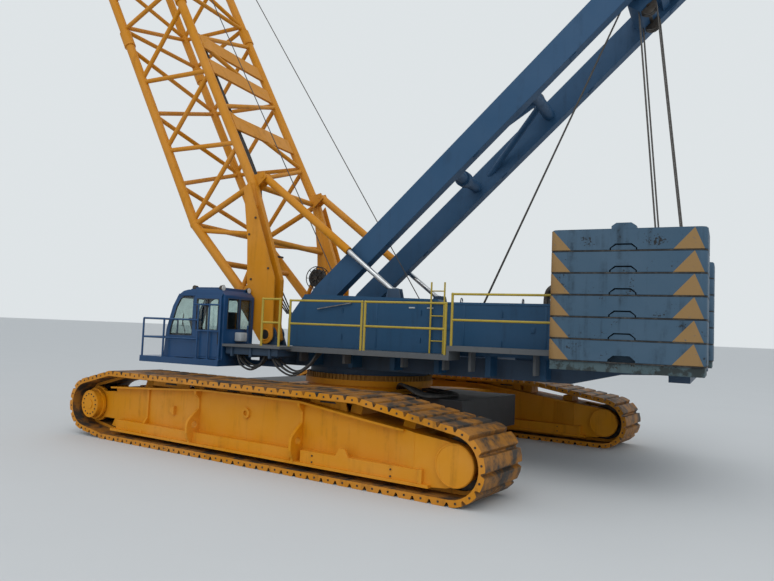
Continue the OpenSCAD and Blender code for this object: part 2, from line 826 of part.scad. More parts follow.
module stack(side) {
    upper()
        mirror([0, side < 0 ? 1 : 0, 0])
            for (i = [0 : plate_count - 1])
                translate([0, 0, plate_z0 + i * plate_t])
                    difference() {
                        union() {
                            translate([0, 0, touch])
                                linear_extrude(height = plate_t - 2 * touch)
                                    plate_plan(18);
                            translate([0, 0, 18])
                                linear_extrude(height = plate_t - 36)
                                    plate_plan(0);
                            translate([0, plate_y1 - 20, plate_t])
                                rotate([90, 0, 0])
                                    linear_extrude(height = 180)
                                        tab_outline(0);
                        }
                        translate([0, plate_y1 + 10, 0])
                            rotate([90, 0, 0])
                                linear_extrude(height = 240)
                                    tab_outline(25);
                    }
}

module counterweight_left() color(blue) stack(1);
module counterweight_right() color(blue) stack(-1);

// Winches: [x of the shaft, drum radius]
winch_x = [450, -1500, -3150];

module winch_stands() color(blue)
    upper()
        for (x = winch_x)
            for (s = [-1, 1])
                difference() {
                    plate_y([[x - 420, frame_z1 + touch], [x + 420, frame_z1 + touch], [x + 200, drum_z + 220],
                        [x - 200, drum_z + 220]], s * (drum_w / 2 + 90) - 30, 60);
                    bar_y(x, s * (drum_w / 2 + 90), drum_z, 100 + play, 100);
                }

// Drum with wound rope, its flanges and its shaft
module drum(x) {
    upper()
        union() {
            bar_y(x, 0, drum_z, drum_r, drum_w);
            for (s = [-1, 1])
                bar_y(x, s * (drum_w / 2 + 20), drum_z, drum_r + 150, 40);
            bar_y(x, 0, drum_z, 100, drum_w + 220);
        }
}

module hoist_drum_front() color(grey) drum(winch_x[0]);
module hoist_drum_rear() color(grey) drum(winch_x[1]);
module luffing_drum() color(grey) drum(winch_x[2]);

module rear_tackle() color(blue)
    upper()
        union() {
            for (y = [-640, -240, 240, 640])
                plate_y([[-7850, frame_z1 + touch], [-7150, frame_z1 + touch], [-7400, 3100], [-7800, 3100]], y - 25, 50);
            bar_y(-7600, 0, 2950, 70, 1380);
            for (y = [-520, -440, -360, 360, 440, 520])
                bar_y(-7600, y, 2950, 300, 60);
        }

// Side outline of the cab, inset by a wall
function cab_side(i) = [
    [cab_rear + i, cab_z0 + i], [cab_front + 60 - i, cab_z0 + i], [cab_front - i, 2700],
    [cab_front - 175 - i * 0.96, 3280], [cab_front - 330 - i * 0.85, cab_z1 - 150 - i * 0.5],
    [cab_front - 500 - i * 0.6, cab_z1 - 35 - i * 0.8], [cab_front - 660 - i * 0.3, cab_z1 - i],
    [cab_rear + 130 + i * 0.3, cab_z1 - i],
    [cab_rear + i, cab_z1 - 130 - i * 0.3]];

// Windows of the cab's sides, each [x, z] round its corners
side_windows = [
    [[3390, 2560], [4110, 2560], [4090, 2720], [3930, 3250], [3810, 3460], [3690, 3530], [3390, 3530]]];

// Rear windows either side of a pillar: [from y, to y]
rear_windows = [[cab_y0 + 130, cab_y0 + 535], [cab_y0 + 605, cab_y1 - 130]];

// Roof hatch: [from x, to x]
hatch = [2580, 3450];
door_x0 = cab_rear + 70;
door_x1 = 3300;
door_z0 = cab_z0 + 60;
door_z1 = cab_z1 - 150;

module cab_shell() color(blue)
    upper()
        difference() {
            union() {
                plate_y(cab_side(0), cab_y0, cab_y1 - cab_y0);
                // raised hatch on the roof
                difference() {
                    box([hatch[0], cab_y0 + 130, cab_z1 - 20], [hatch[1], cab_y1 - 130, cab_z1 + 70]);
                    box([hatch[0] + 80, cab_y0 + 200, cab_z1 - 30], [hatch[1] - 80, cab_y1 - 200, cab_z1 + 80]);
                }
                // rails that the door hangs on and runs over, forward past the front window
                box([door_x0 - 20, cab_y1 - 5, door_z1 + touch], [door_x1 + door_travel - 30, door_y0 + door_t, door_z1 + 40]);
                box([door_x0 - 20, cab_y1 - 5, door_z0 - 40], [door_x1 + door_travel + 20, door_y0 + door_t, door_z0 - gap]);
            }
            plate_y(cab_side(cab_t), cab_y0 + cab_t, cab_y1 - cab_y0 - 2 * cab_t);
            // door opening
            box([door_x0 + 40, cab_y1 - 2 * cab_t, door_z0 + 30], [door_x1 - 40, cab_y1 + 10, door_z1 - 30]);
            // side windows
            for (w = side_windows)
                plate_y(w, cab_y0 - 10, cab_y1 - cab_y0 + 20);
            box([door_x0, cab_y0 - 10, 2700], [door_x1, cab_y0 + 2 * cab_t, 3500]);
            // front window, through the sloping screen
            box([3500, cab_y0 + 110, 2580], [cab_front + 60, cab_y1 - 110, cab_z1 - 190]);
            // rear window
            for (w = rear_windows)
                box([cab_rear - 10, w[0], 2760], [cab_rear + 2 * cab_t, w[1], 3500]);
            // roof window
            box([hatch[0] + 80, cab_y0 + 200, cab_z1 - 2 * cab_t], [hatch[1] - 80, cab_y1 - 200, cab_z1 + 10]);
        }

module cab_glass() color(pane)
    upper() {
        for (w = side_windows)
            for (y = [cab_y0 + 20, cab_y1 - 28])
                plate_y(w, y, 8);
        box([door_x0 + touch, cab_y0 + 20, 2700 + touch], [door_x1 - touch, cab_y0 + 28, 3500 - touch]);
        for (w = rear_windows)
            box([cab_rear + 20, w[0] + touch, 2760 + touch], [cab_rear + 28, w[1] - touch, 3500 - touch]);
        box([hatch[0] + 80 + touch, cab_y0 + 200 + touch, cab_z1 - 30],
            [hatch[1] - 80 - touch, cab_y1 - 200 - touch, cab_z1 - 22]);
        intersection() {
            plate_y([[cab_front - 18, 2500], [cab_front - 30, 2700], [cab_front - 205, 3280], [cab_front - 365, cab_z1 - 150],
                [cab_front - 373, cab_z1 - 155], [cab_front - 213, 3277], [cab_front - 38, 2698], [cab_front - 26, 2500]],
                cab_y0 + 110 + touch, cab_y1 - cab_y0 - 220 - 2 * touch);
            box([3500, cab_y0, 2580 + touch], [cab_front, cab_y1, cab_z1 - 190 - touch]);
        }
    }

// Sliding door, hung just outside the cab's left wall
door_y0 = cab_y1 + 8;
door_t = 40;

module cab_door() color(blue)
    upper()
        difference() {
            box([door_x0, door_y0, door_z0], [door_x1, door_y0 + door_t, door_z1]);
            box([door_x0 + 80, door_y0 - 1, 2720], [door_x1 - 80, door_y0 + door_t + 1, door_z1 - 80]);
        }

module cab_door_glass() color(pane)
    upper()
        box([door_x0 + 80 + touch, door_y0 + 15, 2720 + touch],
            [door_x1 - 80 - touch, door_y0 + 23, door_z1 - 80 - touch]);

module cab_seat() color(dark)
    upper()
        union() {
            x = cab_rear + 380;
            y = (cab_y0 + cab_y1) / 2;
            box([x + 20, y - 150, cab_z0 + cab_t + touch], [x + 370, y + 150, 2350]);
            box([x - 80, y - 260, 2340], [x + 470, y + 260, 2480]);
            plate_y([[x - 60, 2470], [x + 70, 2470], [x - 70, 3180], [x - 190, 3160]], y - 250, 500);
            for (s = [-1, 1])
                box([x - 30, y + s * 330 - 60, 2300], [x + 520, y + s * 330 + 60, 2620]);
            box([x - 30, y - 390, 2300], [x + 470, y + 390, 2360]);
        }

module cab_platform() color(blue)
    upper()
        union() {
            box([cab_rear, cab_y0 - 20, 1850], [4930, cab_y1 + 150, cab_z0 - touch]);
            box([1500, chord_y + 250 + touch, 1850], [4200, cab_y0, 1990]);
            for (p = [[4890, cab_y1 + 110], [4890, cab_y0 + 40], [4200, cab_y1 + 110]])
                tube([p[0], p[1], cab_z0 - 10], [p[0], p[1], cab_z0 + 950], rail_r);
            for (z = [cab_z0 + 950, cab_z0 + 480]) {
                tube([4890, cab_y0 + 40, z], [4890, cab_y1 + 110, z], rail_r);
                tube([4200, cab_y1 + 110, z], [4890, cab_y1 + 110, z], rail_r);
            }
        }

// Mast frame: its own X runs from the foot pin to the head
module mast_place() {
    upper()
        translate([mast_x, 0, mast_z])
            rotate([0, -mast_angle, 0])
                children();
}

module mast_legs() color(blue)
    mast_place()
        difference() {
            union() {
                for (s = [-1, 1])
                    plate_y([[0, -150], [700, -leg_d / 2], [mast_len - 300, -leg_d / 2], [mast_len + 300, -300],
                        [mast_len + 300, 300], [mast_len - 300, leg_d / 2], [700, leg_d / 2], [0, 150]],
                        s * mast_y - leg_w / 2, leg_w);
                for (s = [-1, 1])
                    bar_y(0, s * mast_y, 0, 180, leg_w);
                for (u = [5260, 7860])
                    bar_y(u, 0, 0, 150, 2 * mast_y);
                for (u = [mast_len - 1100, mast_len - 500])
                    box([u - 100, -mast_y, -200], [u + 100, mast_y, 200]);
                for (s = [-1, 1])
                    for (d = [-1, 1])
                        plate_y([[mast_len - 600, -190], [mast_len - 300, -440], [mast_len + 120, -440],
                            [mast_len + 150, 150], [mast_len - 600, 190]], s * 810 + d * 110 - 15, 30);
                for (s = [-1, 1])
                    tube([7840, s * 150, 0], [5650, s * (mast_y - 60), 0], 80);
                bar_y(5260, 0, 0, 200, 260);
            }
            for (s = [-1, 1])
                bar_y(0, s * mast_y, 0, mast_pin_r + play, leg_w + 20);
            bar_y(mast_len, 0, 0, 80 + play, 2 * mast_y - leg_w);
        }

module mast_sheaves() color(dark)
    mast_place()
        union() {
            bar_y(mast_len, 0, 0, 80, 2 * mast_y - leg_w - 2 * touch);
            for (y = [-560, -470, -380, -290, 290, 380, 470, 560])
                bar_y(mast_len, y, 0, 330, 70);
        }

// Boom frame: its own X runs along the boom, its Z to the rear side
module boom_place() {
    upper()
        translate([boom_x, 0, boom_z])
            rotate([0, -boom_angle, 0])
                children();
}

// Lacing tube between two points on the chords, ending inside the chords' walls
module strut(p, q, r) {
    d = q - p;
    l = norm(d);
    e = lace_in / norm([0, d[1], d[2]]);
    tube(p + d * e, q - d * e, r);
}

// Chord point at a station [u, half width, half depth]
function knot(a, y, z) = [a[0], y * a[1], z * a[2]];

// Zigzag lacing between two stations, on the sides and on the front and rear faces
module zigzag(a, b, i) {
    m = i % 2 == 0 ? 1 : -1;
    p = [a[0] + lace_gap, a[1], a[2]];
    q = [b[0] - lace_gap, b[1], b[2]];
    for (s = [-1, 1])
        strut(knot(p, s, -m), knot(q, s, m), lace_r);
    strut(knot(p, -m, -1), knot(q, m, -1), lace_r);
    strut(knot(p, m, 1), knot(q, -m, 1), lace_r);
}

// Ring of four cross tubes at a station
module cross_ring(a, r) {
    for (s = [-1, 1]) {
        strut(knot(a, s, -1), knot(a, s, 1), r);
        strut(knot(a, -1, s), knot(a, 1, s), r);
    }
}

module chords(a, b) {
    for (y = [-1, 1])
        for (z = [-1, 1])
            tube(knot(a, y, z), knot(b, y, z), chord_r);
}

module knots(a) {
    for (y = [-1, 1])
        for (z = [-1, 1])
            translate(knot(a, y, z))
                sphere(r = chord_r + 8);
}

// Thick pinned ends of the chords where two sections meet, from one station to another
module chord_ends(u0, u1) {
    for (y = [-1, 1])
        for (z = [-1, 1])
            tube([u0, y * chord_y, z * chord_v], [u1, y * chord_y, z * chord_v], chord_r + 35);
}

// Zigzag from one station to another in equal steps
module lacing(a, b, n, first) {
    for (i = [0 : n - 1])
        zigzag(a + (b - a) * i / n, a + (b - a) * (i + 1) / n, i + first);
}

// Walkway grating across the rear face, at a distance along the boom
module boom_step(u) {
    for (s = [-1, 1])
        strut([u + s * 190, -chord_y, chord_v], [u + s * 190, chord_y, chord_v], 40);
    box([u - 250, -chord_y + chord_r + 60, chord_v + 30], [u + 250, chord_y - chord_r - 60, chord_v + 60]);
}

module boom_foot() color(yellow)
    boom_place()
        difference() {
            union() {
                k = [kink_u, chord_y, chord_v];
                j = [2500, chord_y, 190 + (chord_v - 190) * (2500 - 700) / (kink_u - 700)];
                chords([700, chord_y, 190], k);
                chords(k, [foot_len, chord_y, chord_v]);
                knots(k);
                cross_ring(k, 80);
                chord_ends(foot_len - 260, foot_len);
                lacing([kink_u + 80, chord_y, chord_v], [foot_len - 320, chord_y, chord_v], 5, 0);
                strut(knot(j, -1, -1), knot(j, 1, -1), 80);
                strut(knot(j, -1, 1), knot(j, 1, 1), 80);
                for (s = [-1, 1]) {
                    strut([kink_u - 220, s * chord_y, -chord_v + 70], [j[0] + 120, s * chord_y, j[2]], lace_r);
                    strut([j[0] - 120, s * chord_y, j[2] - 50], [1450, s * chord_y, -500], lace_r);
                    plate_y([[-120, -160], [1300, -460], [1300, 460], [-120, 160]], s * chord_y - 90, 180);
                    bar_y(0, s * chord_y, 0, 210, 250);
                }
                for (u = [6050, 8000, 8900])
                    boom_step(u);
                for (s = [-1, 1])
                    for (d = [-1, 1])
                        plate_y([[stop_u - 200, chord_v], [stop_u + 200, chord_v], [stop_u + 90, stop_v + 90],
                            [stop_u - 90, stop_v + 90]], s * stop_y + d * (stop_r + 26) - 20, 40);
                for (s = [-1, 1])
                    bar_y(stop_u, s * stop_y, stop_v, 45, 2 * stop_r + 120);
            }
            for (s = [-1, 1])
                bar_y(0, s * chord_y, 0, boom_pin_r + play, 400);
        }

module boom_insert() color(yellow)
    boom_place()
        union() {
            u0 = foot_len;
            u1 = boom_len - head_len;
            chords([u0, chord_y, chord_v], [u1, chord_y, chord_v]);
            chord_ends(u0, u0 + 260);
            chord_ends(u1 - 260, u1);
            cross_ring([u0 + 380, chord_y, chord_v], lace_r);
            lacing([u0 + 460, chord_y, chord_v], [u1 - 320, chord_y, chord_v], 7, 1);
        }

module boom_head() color(yellow)
    boom_place()
        union() {
            u0 = boom_len - head_len;
            k = [boom_len - taper_len, chord_y, chord_v];
            e = [boom_len - 700, 640, 560];
            chords([u0, chord_y, chord_v], k);
            chords(k, e);
            knots(k);
            chord_ends(u0, u0 + 260);
            cross_ring([u0 + 380, chord_y, chord_v], lace_r);
            cross_ring(k, lace_r);
            lacing([u0 + 460, chord_y, chord_v], k - [140, 0, 0], 4, 0);
            lacing(k + (e - k) * 0.035, k + (e - k) * 0.93, 4, 0);
            // head cheeks that carry the sheave shaft and the pendant lugs
            for (s = [-1, 1])
                plate_y([[e[0] - 450, -700], [head_shaft_u, head_shaft_v - 200], [boom_len + 50, head_shaft_v],
                    [boom_len + 50, 300], [pend_u + 160, pend_v + 130], [pend_u - 160, pend_v + 130],
                    [e[0] - 450, 640]], s * 660 - 60, 120);
            box([e[0] - 80, -660, -500], [e[0] + 80, 660, 500]);
            bar_y(boom_len - 250, 0, 300, 90, 1250);
            for (s = [-1, 1])
                bar_y(pend_u, s * 790, pend_v, 45, 220);
        }

module boom_sheaves() color(dark)
    boom_place()
        union() {
            bar_y(head_shaft_u, 0, head_shaft_v, 80, 1200 - 2 * touch);
            for (i = [0 : 5])
                bar_y(head_shaft_u, -375 + i * 150, head_shaft_v, sheave_r, 80);
        }

// Backstop frame: its own X runs from the boom lug to the seat
module stop_place() {
    upper()
        translate([stop_x, 0, stop_z])
            rotate([0, -stop_angle, 0])
                children();
}

module backstop_barrels() color(yellow)
    stop_place()
        for (s = [-1, 1])
            translate([0, s * stop_y, 0])
                difference() {
                    union() {
                        bar_y(0, 0, 0, 90, 2 * stop_r);
                        rotate([0, 90, 0])
                            cylinder(h = barrel_len, r = stop_r);
                    }
                    bar_y(0, 0, 0, 45 + play, 3 * stop_r);
                    translate([450, 0, 0])
                        rotate([0, 90, 0])
                            cylinder(h = barrel_len, r = rod_r + play);
                }

module backstop_rods() color(steel)
    stop_place()
        for (s = [-1, 1])
            translate([0, s * stop_y, 0])
                difference() {
                    union() {
                        translate([stop_len - rod_len, 0, 0])
                            rotate([0, 90, 0])
                                cylinder(h = rod_len, r = rod_r);
                        bar_y(stop_len, 0, 0, 110, 120);
                    }
                    bar_y(stop_len, 0, 0, 45, 140);
                }

module pendants() color(steel)
    upper()
        translate([pend_x, 0, pend_z])
            rotate([0, 180 - pend_angle, 0])
                for (s = [-1, 1])
                    for (d = [-1, 1])
                        translate([0, s * 810 + d * 45, 0])
                            difference() {
                                union() {
                                    rotate([0, 90, 0])
                                        cylinder(h = pend_len - 350, r = stay_r);
                                    bar_y(0, 0, 0, 90, 2 * stay_r + 6);
                                    bar_y(pend_len - 350, 0, 0, 90, 2 * stay_r + 6);
                                }
                                bar_y(0, 0, 0, 45 + play, 200);
                                bar_y(pend_len - 350, 0, 0, 45 + play, 200);
                            }

// Rope falls between the boom head and the hook block
fall_y = [-375, -225, -75, 75, 225, 375];

module hoist_falls() color(grey)
    upper()
        for (y = fall_y)
            for (s = [-1, 1])
                translate([head_x + s * fall_x, y, head_z - hook_drop])
                    cylinder(h = hook_drop, r = fall_r);

module hook_block() color(yellow)
    upper()
        translate([head_x, 0, head_z - hook_drop])
            union() {
                for (y = [-490, 490])
                    plate_y([[-320, -760], [320, -760], [490, 0], [320, 470], [-320, 470], [-490, 0]], y - 30, 60);
                for (y = fall_y)
                    bar_y(0, y, 0, sheave_r, 80);
                bar_y(0, 0, 0, 80, 1060);
                difference() {
                    box([-260, -490, -860], [260, 490, -620]);
                    translate([0, 0, -950])
                        cylinder(h = 400, r = 120 + play);
                }
            }

module hook() color(dark)
    upper()
        translate([head_x, 0, head_z - hook_drop])
            union() {
                translate([0, 0, -1250])
                    cylinder(h = 720, r = 120);
                translate([0, 0, -620 + touch])
                    cylinder(h = 90, r = 200);
                for (s = [0, 180])
                    rotate([0, 0, s])
                        translate([270, 0, -1400])
                            rotate([90, 0, 0])
                                rotate_extrude(angle = 230, start = 150)
                                    translate([200, 0])
                                        circle(r = 90);
                translate([0, 0, -1500])
                    cylinder(h = 300, r = 130);
            }

carbody();
slew_ring();
central_ballast();
track_frame_left();
track_frame_right();
track_loop_left();
track_loop_right();
sprockets();
track_drives();
idlers();
track_rollers();
main_frame();
house_left();
house_right();
engine_block();
engine_hood();
walkway_left();
walkway_right();
handrails();
counterweight_tray();
counterweight_left();
counterweight_right();
winch_stands();
rear_tackle();
hoist_drum_front();
hoist_drum_rear();
luffing_drum();
cab_shell();
cab_glass();
cab_door();
cab_door_glass();
cab_seat();
cab_platform();
mast_legs();
mast_sheaves();
boom_foot();
boom_insert();
boom_head();
boom_sheaves();
backstop_barrels();
backstop_rods();
pendants();
hoist_falls();
hook_block();
hook();
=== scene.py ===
import bpy, bmesh, json, math
from mathutils import Matrix, Vector


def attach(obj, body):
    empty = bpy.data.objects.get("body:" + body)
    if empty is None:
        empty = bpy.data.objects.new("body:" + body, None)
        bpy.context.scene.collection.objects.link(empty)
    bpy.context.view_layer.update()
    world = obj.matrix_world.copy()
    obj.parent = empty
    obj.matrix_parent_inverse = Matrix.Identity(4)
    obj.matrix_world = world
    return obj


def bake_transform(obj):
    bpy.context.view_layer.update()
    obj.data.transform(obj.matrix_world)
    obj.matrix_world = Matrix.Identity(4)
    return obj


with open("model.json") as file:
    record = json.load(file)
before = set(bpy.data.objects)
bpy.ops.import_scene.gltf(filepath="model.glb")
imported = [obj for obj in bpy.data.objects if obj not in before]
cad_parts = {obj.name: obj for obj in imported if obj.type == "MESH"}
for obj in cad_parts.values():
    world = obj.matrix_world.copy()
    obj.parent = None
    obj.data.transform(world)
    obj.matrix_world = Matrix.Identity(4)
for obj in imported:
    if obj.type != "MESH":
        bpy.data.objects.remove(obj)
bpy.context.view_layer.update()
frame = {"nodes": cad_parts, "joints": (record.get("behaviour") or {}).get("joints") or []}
nodes = frame["nodes"]
joints = {j["name"]: j for j in frame["joints"]}
print("frame loaded", len(nodes), "nodes")

# where the crane's own axes stand in the frame
place = {"slewX": joints["slew"]["pos_m"][0], "trackTurn": -7.6,
         "boomFoot": (2.05, 2.65), "boomAngle": 62.0, "mastFoot": (1.35, 3.20), "mastAngle": 136.7}


def cosSin(degrees):
    a = math.radians(degrees)
    return math.cos(a), math.sin(a)


def upper(x, y, z):
    return Vector((place["slewX"] + x, y, z))


def lower(x, y, z):
    c, s = cosSin(place["trackTurn"])
    return Vector((place["slewX"] + x * c - y * s, x * s + y * c, z))


def tilted(foot, angle, u, y, w):
    c, s = cosSin(angle)
    return upper(foot[0] + u * c - w * s, y, foot[1] + u * s + w * c)


def boom(u, y, w):
    return tilted(place["boomFoot"], place["boomAngle"], u, y, w)


def mast(u, y, w):
    return tilted(place["mastFoot"], place["mastAngle"], u, y, w)


def placed(at, points):
    return [at(*p) for p in points]


# camera
cameraSet = {"at": (-8.55, 16.48, 2.83), "yaw": 26.27, "pitch": 3.46, "roll": 2.33,
             "focalPixels": 692.4, "widthPixels": 774, "sensor": 36.0, "farthest": 6000}


def makeCamera():
    yaw, pitch, roll = (math.radians(cameraSet[k]) for k in ("yaw", "pitch", "roll"))
    ahead = Vector((math.sin(yaw), -math.cos(yaw), 0))
    side = Vector((-math.cos(yaw), -math.sin(yaw), 0))
    rise = Vector((0, 0, 1))
    look = ahead * math.cos(pitch) + rise * math.sin(pitch)
    top = rise * math.cos(pitch) - ahead * math.sin(pitch)
    right = side * math.cos(roll) + top * math.sin(roll)
    up = top * math.cos(roll) - side * math.sin(roll)
    data = bpy.data.cameras.new("photoCamera")
    data.sensor_width = cameraSet["sensor"]
    data.lens = cameraSet["focalPixels"] / cameraSet["widthPixels"] * cameraSet["sensor"]
    data.clip_end = cameraSet["farthest"]
    cam = bpy.data.objects.new("photoCamera", data)
    bpy.context.scene.collection.objects.link(cam)
    m = Matrix((right, up, -look)).transposed().to_4x4()
    m.translation = upper(*cameraSet["at"])
    cam.matrix_world = m
    bpy.context.scene.camera = cam


makeCamera()
print("camera set")


# node helpers for materials
def newGroup(name, inputs, outputs):
    g = bpy.data.node_groups.new(name, "ShaderNodeTree")
    for label, kind, value in inputs:
        s = g.interface.new_socket(name=label, in_out="INPUT", socket_type=kind)
        s.default_value = value
    for label, kind in outputs:
        g.interface.new_socket(name=label, in_out="OUTPUT", socket_type=kind)
    return g, g.nodes.new("NodeGroupInput"), g.nodes.new("NodeGroupOutput")


def fill(tree, node, values):
    for label, value in values.items():
        socket = node.inputs[label]
        if isinstance(value, bpy.types.NodeSocket):
            tree.links.new(value, socket)
        else:
            socket.default_value = (*value, 1) if socket.type == "RGBA" else value


def mathNode(tree, kind, a, b=None, clamp=False):
    n = tree.nodes.new("ShaderNodeMath")
    n.operation = kind
    n.use_clamp = clamp
    fill(tree, n, {0: a} if b is None else {0: a, 1: b})
    return n.outputs[0]


def noiseNode(tree, vector, scale, detail=3.0, rough=0.55):
    n = tree.nodes.new("ShaderNodeTexNoise")
    fill(tree, n, {"Scale": scale, "Detail": detail, "Roughness": rough, "Distortion": 0.0,
                   "Vector": vector})
    return n.outputs["Fac"]


def rangeNode(tree, value, lo, hi, toLo=0.0, toHi=1.0):
    n = tree.nodes.new("ShaderNodeMapRange")
    n.clamp = True
    fill(tree, n, {0: value, 1: lo, 2: hi, 3: toLo, 4: toHi})
    return n.outputs[0]


def mixColor(tree, fac, a, b):
    n = tree.nodes.new("ShaderNodeMix")
    n.data_type = "RGBA"
    fill(tree, n, {0: fac, 6: a, 7: b})
    return n.outputs[2]


def bumpNode(tree, height, strength, distance):
    n = tree.nodes.new("ShaderNodeBump")
    fill(tree, n, {"Strength": strength, "Distance": distance, "Height": height})
    return n.outputs["Normal"]


def objectCoords(tree, scale=(1, 1, 1)):
    t = tree.nodes.new("ShaderNodeTexCoord")
    m = tree.nodes.new("ShaderNodeMapping")
    fill(tree, m, {"Scale": scale, "Vector": t.outputs["Object"]})
    return m.outputs["Vector"]


# weathered paint: large tint changes, run-down streaks, grime and chips down to rust
paintSet = {"cloud": 0.55, "patch": 3.1, "grain": 24.0, "streak": (5.5, 5.5, 0.45),
            "faded": (1.22, 0.86), "chipEdge": 0.86, "chipReach": 0.22}


def makePaintGroup():
    k = paintSet
    g, gi, go = newGroup("weatheredPaint", [
        ("Paint", "NodeSocketColor", (0.5, 0.5, 0.5, 1)),
        ("Grime", "NodeSocketColor", (0.05, 0.04, 0.03, 1)),
        ("Rust", "NodeSocketColor", (0.13, 0.05, 0.02, 1)),
        ("Fade", "NodeSocketFloat", 0.15),
        ("Streaks", "NodeSocketFloat", 0.3),
        ("Chips", "NodeSocketFloat", 0.3),
        ("Gloss", "NodeSocketFloat", 0.4)],
        [("Color", "NodeSocketColor"), ("Roughness", "NodeSocketFloat"), ("Height", "NodeSocketFloat")])
    big = noiseNode(g, objectCoords(g), k["cloud"], 4, 0.6)
    mid = noiseNode(g, objectCoords(g), k["patch"], 5, 0.65)
    run = noiseNode(g, objectCoords(g, k["streak"]), 1.0, 4, 0.6)
    fine = noiseNode(g, objectCoords(g), k["grain"], 5, 0.7)
    light = g.nodes.new("ShaderNodeHueSaturation")
    value, saturation = k["faded"]
    fill(g, light, {"Value": value, "Saturation": saturation, "Color": gi.outputs["Paint"]})
    faded = mathNode(g, "MULTIPLY", rangeNode(g, big, 0.35, 0.7), gi.outputs["Fade"])
    base = mixColor(g, faded, gi.outputs["Paint"], light.outputs[0])
    streak = mathNode(g, "MULTIPLY", rangeNode(g, run, 0.52, 0.74), rangeNode(g, mid, 0.38, 0.62))
    streak = mathNode(g, "MULTIPLY", streak, gi.outputs["Streaks"], True)
    col = mixColor(g, streak, base, gi.outputs["Grime"])
    chipped = mathNode(g, "MULTIPLY", gi.outputs["Chips"], k["chipReach"])
    edge = mathNode(g, "SUBTRACT", k["chipEdge"], chipped)
    mix = mathNode(g, "ADD", mathNode(g, "MULTIPLY", fine, 0.55), mathNode(g, "MULTIPLY", mid, 0.6))
    chip = rangeNode(g, mix, edge, mathNode(g, "ADD", edge, 0.03))
    col = mixColor(g, chip, col, gi.outputs["Rust"])
    rough = mathNode(g, "ADD", gi.outputs["Gloss"], mathNode(g, "MULTIPLY", mid, 0.16))
    rough = mathNode(g, "ADD", rough, mathNode(g, "MULTIPLY", streak, 0.3), True)
    height = mathNode(g, "SUBTRACT", mathNode(g, "MULTIPLY", mid, 0.25), mathNode(g, "MULTIPLY", chip, 0.5))
    fill(g, go, {"Color": col, "Roughness": rough, "Height": height})
    return g


paintGroup = makePaintGroup()


def startMaterial(name):
    m = bpy.data.materials.new(name)
    m.use_nodes = True
    t = m.node_tree
    return m, t, t.nodes["Principled BSDF"]


def paint(name, colour, grime=(0.05, 0.045, 0.035), rust=(0.13, 0.05, 0.02), fade=0.5, streaks=0.5,
          chips=0.3, gloss=0.34, bump=0.25, extra=None, coat=0.0, shine=0.5):
    m, t, b = startMaterial(name)
    g = t.nodes.new("ShaderNodeGroup")
    g.node_tree = paintGroup
    fill(t, g, {"Paint": colour, "Grime": grime, "Rust": rust, "Fade": fade, "Streaks": streaks,
                "Chips": chips, "Gloss": gloss})
    out = g.outputs["Color"]
    if extra:
        out = extra(t, out)
    fill(t, b, {"Base Color": out, "Roughness": g.outputs["Roughness"],
                "Normal": bumpNode(t, g.outputs["Height"], bump, 0.004),
                "Specular IOR Level": shine, "Coat Weight": coat, "Coat Roughness": 0.15})
    return m


def metal(name, colour, rough, amount, worn=(0.06, 0.045, 0.035)):
    m, t, b = startMaterial(name)
    v = objectCoords(t)
    n = rangeNode(t, noiseNode(t, v, 5.0, 5, 0.65), 0.4, 0.65)
    fill(t, b, {"Base Color": mixColor(t, mathNode(t, "MULTIPLY", n, amount), colour, worn),
                "Roughness": mathNode(t, "ADD", mathNode(t, "MULTIPLY", n, 0.25), rough, True),
                "Metallic": 1.0,
                "Normal": bumpNode(t, noiseNode(t, v, 40.0, 4, 0.6), 0.25, 0.003)})
    return m


def glass(name):
    m, t, b = startMaterial(name)
    n = noiseNode(t, objectCoords(t), 3.0, 4, 0.6)
    tint = mixColor(t, rangeNode(t, n, 0.4, 0.7), (0.62, 0.72, 0.70), (0.52, 0.60, 0.58))
    fill(t, b, {"Transmission Weight": 1.0, "IOR": 1.45, "Base Color": tint,
                "Roughness": rangeNode(t, n, 0.45, 0.75, 0.02, 0.09)})
    return m


def rope(name, colour=(0.07, 0.065, 0.06)):
    m, t, b = startMaterial(name)
    v = objectCoords(t, (9, 9, 9))
    w = t.nodes.new("ShaderNodeTexWave")
    fill(t, w, {"Scale": 2.2, "Distortion": 1.5, "Vector": v})
    fill(t, b, {"Base Color": mixColor(t, w.outputs["Fac"], colour, tuple(c * 1.9 for c in colour)),
                "Roughness": rangeNode(t, noiseNode(t, v, 1.0), 0.3, 0.7, 0.45, 0.75),
                "Metallic": 0.6})
    return m


def rubber(name, colour=(0.018, 0.018, 0.019)):
    m, t, b = startMaterial(name)
    n = noiseNode(t, objectCoords(t), 9.0, 4, 0.6)
    dusty = mixColor(t, rangeNode(t, n, 0.45, 0.7), colour, (0.07, 0.066, 0.06))
    fill(t, b, {"Base Color": dusty, "Roughness": rangeNode(t, n, 0.3, 0.7, 0.5, 0.8)})
    return m


# yellow corner triangles on the outer long face of every plate, worn like the paint round them.
# Slopes are metres along x for one plate's height below the peak
plateSet = {"rear": -8.24, "length": 2.70, "bottom": 2.45, "height": 0.405, "outer": 3.37, "peak": 0.95,
            "frontGap": 0.05, "frontSlope": 0.36, "rearLow": (0.205, 0.17), "rearHigh": (0.215, 0.37),
            "yellow": (0.29, 0.175, 0.068), "wearScale": 14.0}


